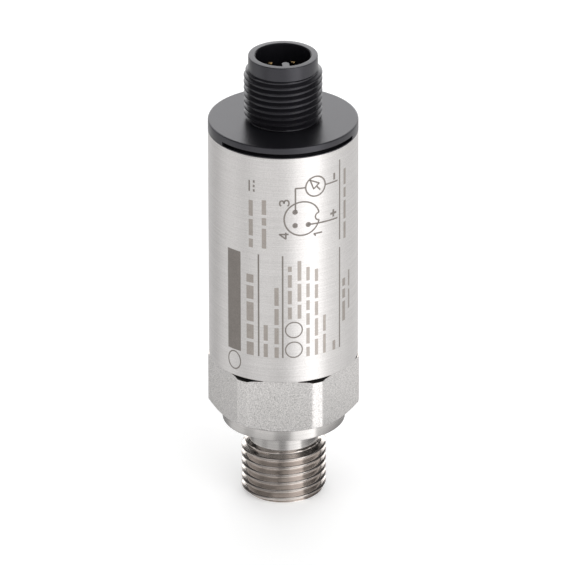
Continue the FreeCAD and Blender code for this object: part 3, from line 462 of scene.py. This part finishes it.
def makeFitting():
    f = fitting
    cut, turned, milled, bored, jointShade = range(5)
    neckFoot, grooveTop = sealPlane - f["neckLength"], sealPlane + f["grooveDepth"]
    shape = bmesh.new()
    threadInto(shape, {**studThread, "Bottom": 0.0, "Top": neckFoot, "Bottom Radius": f["tipRadius"],
                       "Top Radius": f["neckRadius"]}, "cutThread")
    # up the neck and round the collar, with the seal's groove in its underside
    outside, outsideParts = turnedRows([
        (f["neckRadius"], neckFoot, 0, turned), (f["neckRadius"], sealPlane, f["neckFillet"], turned),
        (f["grooveInner"], sealPlane, f["grooveEdge"], turned), (f["grooveInner"], grooveTop, 0, turned),
        (f["grooveOuter"], grooveTop, 0, turned), (f["grooveOuter"], sealPlane, f["grooveEdge"], turned),
        (f["collarRadius"], sealPlane, f["collarEdge"], turned), (f["collarRadius"], coneFoot, 0, milled)])
    hexParts = [milled] * 4 + [cut] * 2 + [jointShade] * 2 + [turned]  # flat, top cone, joint painted black as shade, step to the boss
    ringFoot = hexTop + f["ringFoot"]
    ringTop = ringFoot + f["ringWidth"]
    shelf, cellFloor = bossTop - f["shelf"], hexTop + f["cellFloor"]
    chamber, grooveFloor = cellFloor - f["chamber"], cellFloor - f["cellGrooveDepth"]
    # up the boss past its ring groove, then down through the cell's pocket and the bore
    inside, insideParts = turnedRows([
        (f["bossRadius"], hexTop, 0, turned), (f["bossRadius"], ringFoot, f["ringEdge"], turned),
        (f["ringGroove"], ringFoot, 0, turned), (f["ringGroove"], ringTop, 0, turned),
        (f["bossRadius"], ringTop, f["ringEdge"], turned), (f["bossRadius"], bossTop, f["bossLead"], turned),
        (f["clampThread"], bossTop, f["clampEdge"], bored), (f["clampThread"], shelf, 0, bored),
        (f["pocket"], shelf, 0, bored), (f["pocket"], cellFloor, 0, bored),
        (f["cellGrooveOuter"], cellFloor, 0, bored), (f["cellGrooveOuter"], grooveFloor, 0, bored),
        (f["cellGrooveInner"], grooveFloor, 0, bored), (f["cellGrooveInner"], chamber, 0, bored),
        (f["boreRadius"], chamber, 0, bored), (f["boreRadius"], 0.0, f["boreLead"], turned),
        (f["tipRadius"], 0.0, 0, turned)])
    skin(shape, outside + hexRows() + inside, outsideParts + hexParts + insideParts)
    # the last look is black rubber put on the joint under the tube's edge as painted shade
    looks = ["cutThread", "turnedSteel", "milledFlat", "boredSteel", "rubberAndJointShade"]
    standsFor(asPiece(shape, "processFitting", looks), "fitting_steel", "process_fitting")


makeFitting()
print("process fitting turned, threaded and milled")


# Housing tube, and the profile seal under the collar

tube = dict(outer=11.49, bore=10.5, edge=0.15, boreEdge=0.05)
seal = dict(inner=7.0, outer=8.3, edge=0.2)


def makeTubeAndSeal():
    t, s = tube, seal
    shape = bmesh.new()
    turnedInto(shape, [(t["bore"], hexTop, t["boreEdge"]), (t["outer"], hexTop, t["edge"]),
                       (t["outer"], tubeTop, t["edge"]), (t["bore"], tubeTop, t["boreEdge"])], close=True)
    standsFor(asPiece(shape, "housingTube", ["brushedTube"]), "tube_steel", "housing_tube")
    shape = bmesh.new()
    turnedInto(shape, [(s["inner"], sealPlane, s["edge"]), (s["outer"], sealPlane, s["edge"]),
                       (s["outer"], sealBack), (s["inner"], sealBack)], close=True)
    standsFor(asPiece(shape, "studSeal", ["rubberAndJointShade"]), "seal_rubber", "stud_seal")


makeTubeAndSeal()
print("tube and seal turned")


# Moulded cap: keyed plug with an M12x1 thread, disc with a relief under its front edge, skirt in the tube

plugThread = {"Pitch": 1.0, "Crest Radius": 6.0, "Root Radius": 5.39, "Crest Share": 0.125,
              "Root Share": 0.22, "Softness": 0.03, "Start": 0.898, "Bottom Slope": 3.0,
              "Top Slope": 1.5, "Turns": 9, "Rows per Turn": 16}
cap = dict(rimRadius=5.32, rimHeight=2.2, rimEdge=0.16, threadFoot=0.25, threadFootRadius=5.38,
           rootFillet=0.12, discRadius=11.5, discHeight=1.75, discEdge=0.26, reliefHeight=0.75,
           reliefSpan=120.0, reliefFloor=0.12, skirtRadius=10.4, skirtBore=8.4, skirtLead=0.4,
           skirtEdge=0.1, grooveFoot=1.1, grooveWidth=1.7, grooveRadius=9.2, grooveEdge=0.03,
           cupRadius=5.2, cupWall=1.0, cupDrop=2.5, cupDepth=1.3, cupEdge=0.05, socketRadius=4.23,
           socketDepth=8.9, socketLead=0.15, keyWidth=1.07, keyReach=1.35, keySteps=10)
contact = dict(circle=2.5, turns={1: -135, 3: 45, 4: 135}, radius=0.5, nose=0.45, collarRadius=0.75,
               collarHeight=1.6, collarEdge=0.05, bed=0.8, tailRadius=0.35, tailLead=0.08, core=0.02,
               columns=32)
roundAngles = [2 * math.pi * index / contact["columns"] for index in range(contact["columns"])]
discTop = tubeTop + cap["discHeight"]
socketFloor = rimTop - cap["socketDepth"]
cupFloor = tubeTop - cap["cupDrop"] + cap["cupDepth"]
collarTop = socketFloor - contact["bed"]
collarFoot = collarTop - contact["collarHeight"]


def contactMiddle(turn):
    angle = math.radians(turn)
    return contact["circle"] * math.cos(angle), contact["circle"] * math.sin(angle)


def keyedRow(radius, level):  # the key is a rib with a half-round nose, so its columns follow that outline
    half = cap["keyWidth"] / 2
    noseMiddle = half - cap["socketRadius"] + cap["keyReach"] - cap["keyWidth"]
    wall = -math.sqrt(radius ** 2 - half ** 2)
    turns = [math.pi * (1 - step / cap["keySteps"]) for step in range(cap["keySteps"] + 1)]
    nose = [(half * math.cos(t), noseMiddle + half * math.sin(t)) for t in turns]
    path = [(-half, wall)] + nose + [(half, wall)]
    row = ringRow(radius, level)
    first = round(columns * frontTurn / 360) - len(path) // 2
    for index, (x, y) in enumerate(path):
        row[first + index] = Vector((x, y, level)) * mm
    return row


def fillBetween(shape, rims):  # a flat face inside the first rim, with the other rims as holes
    edges = [shape.edges.get((rim[index - 1], rim[index])) for rim in rims for index in range(len(rim))]
    bmesh.ops.triangle_fill(shape, use_beauty=True, edges=edges)


def discRows(threadFoot):  # from the thread down to the skirt, with the relief cut under the front edge
    c = cap
    # the relief's two ends need two columns at one angle, one inside and one outside
    ends = [round(columns * (frontTurn + side * c["reliefSpan"] / 2) / 360) for side in (-1, 1)]
    order = sorted(list(range(columns)) + ends)
    angles = [evenAngles[index] for index in order]
    first, last = order.index(ends[0]) + 1, order.index(ends[1])
    radii = [c["skirtRadius"] if first <= index <= last else c["discRadius"] for index in range(len(order))]
    reliefTop, reliefFoot = tubeTop + c["reliefHeight"], tubeTop + c["reliefFloor"]
    rows = turnedRows([
        (c["threadFootRadius"], threadFoot), (c["threadFootRadius"], discTop, c["rootFillet"]),
        (c["discRadius"], discTop, c["discEdge"]), (c["discRadius"], reliefTop)], angles=angles)[0]
    for level in (reliefTop, reliefFoot):
        rows.append([onCircle(radius, angle, level) for radius, angle in zip(radii, angles)])
    rows += [ringRow(c["discRadius"], reliefFoot, angles), ringRow(c["discRadius"], tubeTop, angles),
             ringRow(c["skirtRadius"], tubeTop, angles)]
    return rows


def makeCap():
    c, p = cap, contact
    rimFoot, threadFoot = rimTop - c["rimHeight"], discTop + c["threadFoot"]
    mouthRadius = c["socketRadius"] + c["socketLead"]
    shape = bmesh.new()
    threadInto(shape, {**plugThread, "Bottom": threadFoot, "Top": rimFoot,
                       "Bottom Radius": c["threadFootRadius"], "Top Radius": c["rimRadius"]}, "capPlastic")
    turnedInto(shape, [(mouthRadius, rimTop), (c["rimRadius"], rimTop, c["rimEdge"]),
                       (c["rimRadius"], rimFoot)])
    skin(shape, discRows(threadFoot))
    # down the skirt past its ring groove, up inside it, and into the cup round the contacts' tails
    grooveFoot = skirtEnd + c["grooveFoot"]
    grooveTop = grooveFoot + c["grooveWidth"]
    cupEnd, cupOuter = tubeTop - c["cupDrop"], c["cupRadius"] + c["cupWall"]
    cupFloorEdge = turnedInto(shape, [
        (c["skirtRadius"], tubeTop), (c["skirtRadius"], grooveTop, c["grooveEdge"]),
        (c["grooveRadius"], grooveTop), (c["grooveRadius"], grooveFoot),
        (c["skirtRadius"], grooveFoot, c["grooveEdge"]), (c["skirtRadius"], skirtEnd, c["skirtLead"]),
        (c["skirtBore"], skirtEnd, c["skirtEdge"]), (c["skirtBore"], tubeTop), (cupOuter, tubeTop),
        (cupOuter, cupEnd, c["cupEdge"]), (c["cupRadius"], cupEnd, c["cupEdge"]),
        (c["cupRadius"], cupFloor)])[-1]
    # the keyed socket, its mouth, and the holes that the contacts stand in
    socketFloorEdge = skin(shape, [
        keyedRow(c["socketRadius"], socketFloor), keyedRow(c["socketRadius"], rimTop - c["socketLead"]),
        keyedRow(mouthRadius, rimTop)])[0]
    skin(shape, [keyedRow(mouthRadius, rimTop), ringRow(mouthRadius, rimTop)])
    holes = [turnedInto(shape, [
        (p["radius"], socketFloor), (p["radius"], collarTop), (p["collarRadius"], collarTop),
        (p["collarRadius"], collarFoot), (p["tailRadius"], collarFoot), (p["tailRadius"], cupFloor)],
        contactMiddle(turn), roundAngles) for turn in p["turns"].values()]
    fillBetween(shape, [socketFloorEdge] + [rows[0] for rows in holes])
    fillBetween(shape, [cupFloorEdge] + [rows[-1] for rows in holes])
    standsFor(asPiece(shape, "connectorCap", ["capPlastic"]), "cap_plastic", "connector_cap")


def makeContacts():
    p = contact
    for number, turn in p["turns"].items():
        shape = bmesh.new()
        rows = turnedInto(shape, [
            (p["core"], tailEnd), (p["tailRadius"], tailEnd, p["tailLead"]),
            (p["tailRadius"], collarFoot), (p["collarRadius"], collarFoot, p["collarEdge"]),
            (p["collarRadius"], collarTop, p["collarEdge"]), (p["radius"], collarTop),
            (p["radius"], pinTip, p["nose"]), (p["core"], pinTip)], contactMiddle(turn), roundAngles)
        shape.faces.new(rows[0])
        shape.faces.new(rows[-1])
        piece = asPiece(shape, "contactPin%d" % number, ["shadedGoldPlate"])
        standsFor(piece, "pin_gold", "contact_pin_%d" % number)


makeCap()
makeContacts()
print("cap moulded, contacts turned")


# Laser marking: pen strokes in the flat label plane, in millimetres right of the front line and up from the
# tube's foot. One tree gives the strokes their width and wraps them round the tube.

marking = dict(front=-96.4, step=0.1, depth=0.02, strokeCuts=1, barCuts=12, rowCuts=5)
pens = dict(line=0.25, ring=0.2, bar=2.54, dash=0.3, dot=0.30, dotCore=0.24, sign=0.36, digit=0.26)
lineFoot = 4.25  # where most rules and rows start
# an upright line is (side, foot, top) and a ring is (middle, radius, points round it)
label = dict(
    rules=((-3.88, lineFoot, 21.5), (-0.12, lineFoot, 21.5), (9.68, lineFoot, 21.2), (9.68, 22.5, 35.9)),
    bar=(-8.23, 4.45, 21.3), barRing=((-8.23, 2.65), 1.2, 40), barRingStretch=1.24,
    rings=(((1.6, 8.95), 1.3, 40), ((1.6, 5.6), 1.3, 40)))
# the wiring picture: supply sign, plug seen from its front with key notch and contacts, meter in the loop
# (a contact's dot is a ring too, without its middle)
sketch = dict(
    supplyLine=(-5.36, 31.9, 33.7), supplyDashes=((-4.6, 31.9), (-4.6, 32.65), (-4.6, 33.4)), dashLength=0.4,
    plug=(2.92, 27.62), plugRadius=2.8, plugSteps=60, notchAngle=12.8, notchSteps=12,
    contacts=((1.8, 28.8), (1.8, 26.55), (3.88, 26.5)), dot=(0.28, 24), dotCore=(0.1, 12),
    digits=((3, 0.87, 29.86), (4, 0.8, 24.35), (1, 6.2, 24.4)), digitHeight=1.42,
    loop=[(1.85, 28.9), (1.85, 32.73), (3.45, 32.73)], meter=((5.1, 32.7), 1.64, 44),
    needle=([(4.17, 33.86), (5.69, 33.13), (4.75, 32.31), (4.17, 33.86)], [(5.21, 32.73), (5.86, 31.97)]),
    wires=([(6.75, 32.6), (9.2, 32.6)], [(3.9, 26.5), (9.2, 26.35)]),
    signs=([(8.5, 32.95), (8.5, 34.05)], [(7.72, 27.4), (8.92, 27.4)], [(8.32, 26.8), (8.32, 28.0)]))
# rows of short bars as (side, width, foot, top), with random lengths and even gaps
barRows = dict(seed=11, lengths=(1.2, 3.4), gap=0.55, shortest=0.8, rows=(
    (-5.3, 1.2, lineFoot, 17.9), (-2.75, 0.66, lineFoot, 10.8), (-1.06, 0.66, lineFoot, 16.1),
    (-5.12, 0.7, 22.5, 30.4), (-2.98, 0.7, 22.6, 30.7), (0.98, 0.6, 10.8, 19.7), (2.46, 0.6, 10.8, 20.6),
    (3.82, 0.55, lineFoot, 20.4), (5.22, 0.55, lineFoot, 19.9), (6.62, 0.5, lineFoot, 11.4),
    (8.46, 0.56, lineFoot, 6.6), (10.7, 0.7, 8.4, 16.7), (12.1, 0.4, 10.0, 16.5), (10.9, 0.55, 22.3, 34.0)))
digitForms = {  # points as shares of the digit's height
    3: [[(0.02, 0.84), (0.14, 0.97), (0.32, 1.0), (0.5, 0.97), (0.62, 0.84), (0.62, 0.68), (0.5, 0.56),
         (0.3, 0.54)],
        [(0.3, 0.54), (0.54, 0.5), (0.68, 0.36), (0.68, 0.18), (0.54, 0.03), (0.32, 0.0), (0.12, 0.03),
         (0.0, 0.16)]],
    4: [[(0.55, 0.0), (0.55, 1.0), (0.0, 0.3), (0.76, 0.3)]],
    1: [[(0.0, 0.76), (0.28, 1.0), (0.28, 0.0)]]}


def wrappingTree():
    tree, names = newTree("wrapStrokes", {
        "Strokes": "Geometry", "Step": "Float", "Depth": "Float", "Tube Radius": "Float", "Front": "Float",
        "Cuts": "Int", "Finish": "Material"})
    given = nodeOf(tree, "NodeGroupInput").outputs
    dense = nodeOf(tree, "GeometryNodeResampleCurve", {"Curve": given["Strokes"], "Length": given["Step"]},
                   mode="LENGTH")
    pen = nodeOf(tree, "GeometryNodeCurvePrimitiveQuadrilateral", {"Width": 1.0, "Height": 1.0})
    nib = nodeOf(tree, "GeometryNodeSubdivideCurve", {"Curve": pen.outputs[0], "Cuts": given["Cuts"]})
    width = nodeOf(tree, "GeometryNodeInputRadius")
    line = nodeOf(tree, "GeometryNodeCurveToMesh", {
        "Curve": dense.outputs[0], "Profile Curve": nib.outputs[0], "Scale": width.outputs[0],
        "Fill Caps": True})
    flat = nodeOf(tree, "ShaderNodeSeparateXYZ", {0: nodeOf(tree, "GeometryNodeInputPosition").outputs[0]})
    side = sums(tree, "SIGN", flat.outputs[2])
    halfDepth = sums(tree, "MULTIPLY", given["Depth"], 0.5)
    radius = sums(tree, "MULTIPLY_ADD", side, halfDepth, given["Tube Radius"])
    angle = sums(tree, "ADD", sums(tree, "DIVIDE", flat.outputs[0], given["Tube Radius"]), given["Front"])
    bent = movedTo(tree, line.outputs[0], onCylinder(tree, radius, angle, flat.outputs[1]))
    finished(tree, bent, given["Finish"])
    return tree, names


wrapStrokes, wrapNames = wrappingTree()


def upright(side, foot, top):
    return [(side, foot), (side, top)]


def arcPoints(middle, radius, start, end, count, stretch=1.0):
    turns = [math.radians(start + (end - start) * index / count) for index in range(count + 1)]
    return [(middle[0] + radius * math.cos(t), middle[1] + radius * stretch * math.sin(t)) for t in turns]


def ringPoints(middle, radius, count, stretch=1.0):
    return arcPoints(middle, radius, 0, 360, count, stretch)


def digitStrokes(digit, side, foot):  # digits stand on the right of their line and read upwards
    height = sketch["digitHeight"]
    return [[(side - y * height, foot + x * height) for x, y in line] for line in digitForms[digit]]


def notchedRing():
    s = sketch
    middle, radius, notch = s["plug"], s["plugRadius"], s["notchAngle"]
    mouth = (middle[0] + radius * math.cos(math.radians(notch)), middle[1])
    ring = arcPoints(middle, radius, notch, 360 - notch, s["plugSteps"])
    ring += arcPoints(mouth, radius * math.sin(math.radians(notch)), 270, 90, s["notchSteps"])[1:-1]
    return ring + [ring[0]]


def barRow(side, width, foot, top, seed):
    draw = random.Random(seed)
    bars, level = [], foot
    while level < top - barRows["shortest"]:
        end = min(top, level + draw.uniform(*barRows["lengths"]))
        bars.append((width, upright(side, level, end)))
        level = end + barRows["gap"]
    return bars


def sketchStrokes():
    s, p = sketch, pens
    strokes = [(p["line"], upright(*s["supplyLine"]))]
    strokes += [(p["dash"], upright(side, foot, foot + s["dashLength"])) for side, foot in s["supplyDashes"]]
    strokes += [(p["line"], notchedRing())]
    for spot in s["contacts"]:
        strokes += [(p["dot"], ringPoints(spot, *s["dot"])), (p["dotCore"], ringPoints(spot, *s["dotCore"]))]
    strokes += [(p["line"], path) for path in (s["loop"], ringPoints(*s["meter"]), *s["needle"], *s["wires"])]
    strokes += [(p["sign"], path) for path in s["signs"]]
    for digit, side, foot in s["digits"]:
        strokes += [(p["digit"], path) for path in digitStrokes(digit, side, foot)]
    return strokes


def markingStrokes():  # fine strokes, the broad bar, and the rows of short bars
    strokes = [(pens["line"], upright(*rule)) for rule in label["rules"]]
    strokes += [(pens["ring"], ringPoints(*label["barRing"], label["barRingStretch"]))]
    strokes += sketchStrokes()
    strokes += [(pens["ring"], ringPoints(*ring)) for ring in label["rings"]]
    shortBars = []
    for seed, row in enumerate(barRows["rows"], barRows["seed"]):
        shortBars += barRow(*row, seed)
    return strokes, [(pens["bar"], upright(*label["bar"]))], shortBars


def strokeCurve(strokes):
    curve = bpy.data.curves.new("strokes", "CURVE")
    curve.dimensions = "3D"
    curve.twist_mode = "Z_UP"
    for width, path in strokes:
        line = curve.splines.new("POLY")
        line.points.add(len(path) - 1)
        for point, (side, level) in zip(line.points, path):
            point.co = (side * mm, (hexTop + level) * mm, 0, 1)
            point.radius = width * mm
    return placed("strokes", curve)


def makeMarking():
    m = marking
    shape = bmesh.new()
    dark, faint = range(2)
    cutsAndLooks = ((m["strokeCuts"], dark), (m["barCuts"], dark), (m["rowCuts"], faint))
    for strokes, (cuts, look) in zip(markingStrokes(), cutsAndLooks):
        addMesh(shape, grown(strokeCurve(strokes), wrapStrokes, wrapNames, {
            "Step": m["step"] * mm, "Depth": m["depth"] * mm, "Tube Radius": tube["outer"] * mm,
            "Front": math.radians(m["front"]), "Cuts": cuts, "Finish": finishes["laserMark"]}), look)
    standsFor(asPiece(shape, "laserMarking", ["laserMark", "laserFaint"]), "tube_steel")


makeMarking()
print("marking wrapped on the tube")


# Floor, light and camera. The camera is fitted to the photo, with the lens as its focal length in pixels.

studio = dict(cameraTurn=-6.4, cameraTilt=25.49, cameraDistance=1309.0, focalPixels=8505.0, framePixels=566,
              sensor=36.0, clipEnd=20000.0, lookSide=-0.067, lookLevel=35.04, roll=0.113, floorSize=2400.0,
              floorTint=0.86, floorGlow=0.33, skyGlow=0.45, shadeFrom=9.0, shadeFull=20.0, shadeGlow=0.06)
# what steel shows of the floor, painted into the floor for glossy rays only: a painted strip of light where
# the side softbox would shine, and painted shade near, behind, beside and in front; a shade is a painted dark
# wedge as (turn from the camera's, half width, softness, depth)
mirror = dict(stripTurn=33.2, stripMiddle=(-6.6, 2.05), stripHalf=19.3, stripSoft=2.5, stripGlow=(0.28, 1.0),
              near=(6.0, 52.0), nearDip=0.62, frontHalf=13.0, frontSoft=7.0, frontFade=(26.0, 80.0),
              frontDip=(0.42, 0.08), rearSpan=(-1.0, 0.3), rearLevel=0.72, sideTurn=-31.0, sideHalf=95.0,
              sideSoft=20.0, sideLevel=0.2, sideFade=(16.0, 42.0), shades=(
                  (-60.0, 6.0, 8.0, 0.22), (-120.0, 12.0, 9.0, 0.28), (-95.0, 60.0, 20.0, 0.05),
                  (113.0, 10.0, 9.0, 0.10)))
lamps = {  # turn to the right of the front, tilt above the horizon, power in watts
    "sideSoftbox": dict(turn=31.0, tilt=22.0, distance=900, width=850, height=900, power=3.3, mirrored=True),
    "topSoftbox": dict(turn=-30.0, tilt=80.0, distance=1000, width=900, height=900, power=2.4,
                       mirrored=False),
    "backSoftbox": dict(turn=172.0, tilt=26.0, distance=1100, width=1150, height=900, power=6.0,
                        mirrored=True),
}
white = (1, 1, 1, 1)


def lookingFrom(turn, tilt):
    a, e = math.radians(turn), math.radians(tilt)
    return Vector((math.sin(a) * math.cos(e), -math.cos(a) * math.cos(e), math.sin(e)))


def setCamera():
    s = studio
    back = lookingFrom(s["cameraTurn"], s["cameraTilt"])
    turn = math.radians(s["cameraTurn"])
    right = Vector((math.cos(turn), math.sin(turn), 0))
    up = back.cross(right)
    roll = math.radians(s["roll"])
    side = right * math.cos(roll) - up * math.sin(roll)
    top = right * math.sin(roll) + up * math.cos(roll)
    aim = (right * s["lookSide"] + Vector((0, 0, s["lookLevel"]))) * mm
    camera = bpy.data.cameras.new("photoCamera")
    camera.sensor_fit = "HORIZONTAL"
    camera.sensor_width = s["sensor"]
    camera.lens = s["focalPixels"] * s["sensor"] / s["framePixels"]
    camera.clip_end = s["clipEnd"] * mm
    holder = placed("photoCamera", camera)
    holder.matrix_world = Matrix.Translation(aim + back * s["cameraDistance"] * mm) @ Matrix(
        (side, top, back)).transposed().to_4x4()
    bpy.context.scene.camera = holder
    bpy.context.scene.view_settings.view_transform = "Standard"


def hangLamps():
    for name, lamp in lamps.items():
        light = bpy.data.lights.new(name, "AREA")
        light.shape = "RECTANGLE"
        light.size, light.size_y = lamp["width"] * mm, lamp["height"] * mm
        light.energy = lamp["power"]
        holder = placed(name, light)
        holder.visible_camera = False
        holder.visible_glossy = lamp["mirrored"]
        away = lookingFrom(lamp["turn"], lamp["tilt"])
        holder.location = away * lamp["distance"] * mm + Vector((0, 0, studio["lookLevel"] * mm))
        holder.rotation_euler = away.to_track_quat("Z", "Y").to_euler()


def rays(tree):
    return nodeOf(tree, "ShaderNodeLightPath").outputs


def cameraOnlyGlow(tree):  # 1 for what the camera sees straight on, in metal or through glass
    seen = rays(tree)
    parts = chained(tree, "ADD", seen["Is Camera Ray"], seen["Is Glossy Ray"], seen["Is Transmission Ray"])
    return sums(tree, "MINIMUM", parts, 1.0)


def paintRoom():  # the room over the white floor is dark, which polished pieces show in their upward faces
    s = studio
    world = bpy.context.scene.world or bpy.data.worlds.new("studioWorld")
    bpy.context.scene.world = world
    world.use_nodes = True
    tree = world.node_tree
    sky = nodeOf(tree, "ShaderNodeTexCoord").outputs["Generated"]
    heading = nodeOf(tree, "ShaderNodeSeparateXYZ", {0: sky})
    low, high = math.sin(math.radians(s["shadeFrom"])), math.sin(math.radians(s["shadeFull"]))
    room = mapped(tree, heading.outputs[2], low, high, 1.0, s["shadeGlow"])
    mirrored = mixed(tree, rays(tree)["Is Glossy Ray"], 1.0, room)
    glow = mixed(tree, cameraOnlyGlow(tree), s["skyGlow"], mirrored)
    tree.links.new(glow, tree.nodes["Background"].inputs["Strength"])
    tree.nodes["Background"].inputs["Color"].default_value = white


def eased(tree, value, low, high, start, end):
    return mapped(tree, value, low, high, start, end, interpolation_type="SMOOTHSTEP")


def byDistance(tree, away, span, start, end):
    return eased(tree, away, span[0] * mm, span[1] * mm, start, end)


def toward(tree, place, turn):
    flat = vectorSums(tree, "NORMALIZE", place)
    return vectorSums(tree, "DOT_PRODUCT", flat, lookingFrom(turn, 0.0), output="Value")


def inWedge(tree, place, turn, half, soft, inside=1.0, outside=0.0):
    low, high = (math.cos(math.radians(half + side * soft)) for side in (1, -1))
    return eased(tree, toward(tree, place, turn), low, high, outside, inside)


def paintedFloorReflection(tree):  # painted shade of the floor as metal shows it, and the painted light of its strip
    m, turn = mirror, studio["cameraTurn"]
    place = nodeOf(tree, "ShaderNodeTexCoord").outputs["Object"]
    away = vectorSums(tree, "LENGTH", place, output="Value")
    moved = vectorSums(tree, "SUBTRACT", place, (*[c * mm for c in m["stripMiddle"]], 0))
    inStrip = inWedge(tree, moved, m["stripTurn"], m["stripHalf"], m["stripSoft"])
    reach = math.sin(math.radians(m["stripHalf"]))
    slope = mapped(tree, toward(tree, moved, m["stripTurn"] + 90.0), -reach, reach, *m["stripGlow"])
    near = byDistance(tree, away, m["near"], 1.0 - m["nearDip"], 1.0)
    inFront = inWedge(tree, place, turn, m["frontHalf"], m["frontSoft"])
    dip = byDistance(tree, away, m["frontFade"], *m["frontDip"])
    front = sums(tree, "SUBTRACT", 1.0, sums(tree, "MULTIPLY", inFront, dip))
    rear = mapped(tree, toward(tree, place, turn), *m["rearSpan"], m["rearLevel"], 1.0)
    side = inWedge(tree, place, m["sideTurn"], m["sideHalf"], m["sideSoft"], 1.0, m["sideLevel"])
    around = mixed(tree, byDistance(tree, away, m["sideFade"], 0.0, 1.0), side, rear)
    level = chained(tree, "MULTIPLY", near, front, around)
    for offset, half, soft, depth in m["shades"]:
        shade = inWedge(tree, place, turn + offset, half, soft, 1.0 - depth, 1.0)
        level = sums(tree, "MULTIPLY", level, shade)
    return level, chained(tree, "MULTIPLY", inStrip, slope, around)


def layFloor():
    s = studio
    floor = bpy.data.materials.new("paleFloor")
    floor.use_nodes = True
    tree = floor.node_tree
    shader = tree.nodes["Principled BSDF"]
    shader.inputs["Roughness"].default_value = 1.0
    shader.inputs["Specular IOR Level"].default_value = 0.0
    shader.inputs["Emission Color"].default_value = white
    # for glossy rays only, painted shade dims the floor's tint and the strip glows as painted light
    level, strip = paintedFloorReflection(tree)
    glossy = rays(tree)["Is Glossy Ray"]
    dimmed = mixed(tree, glossy, 1.0, level)
    tinted = nodeOf(tree, "ShaderNodeVectorMath", {0: (s["floorTint"],) * 3, "Scale": dimmed},
                    operation="SCALE")
    tree.links.new(tinted.outputs[0], shader.inputs["Base Color"])
    glow = chained(tree, "MULTIPLY", cameraOnlyGlow(tree), s["floorGlow"], dimmed)
    tree.links.new(sums(tree, "MULTIPLY_ADD", glossy, strip, glow), shader.inputs["Emission Strength"])
    half = s["floorSize"] / 2 * mm
    corners = [(x * half, y * half, 0) for x, y in ((-1, -1), (1, -1), (1, 1), (-1, 1))]
    mesh = bpy.data.meshes.new("studioFloor")
    mesh.from_pydata(corners, [], [(0, 1, 2, 3)])
    mesh.materials.append(floor)
    placed("studioFloor", mesh)


setCamera()
hangLamps()
paintRoom()
layFloor()
print("floor, lamps and camera set")
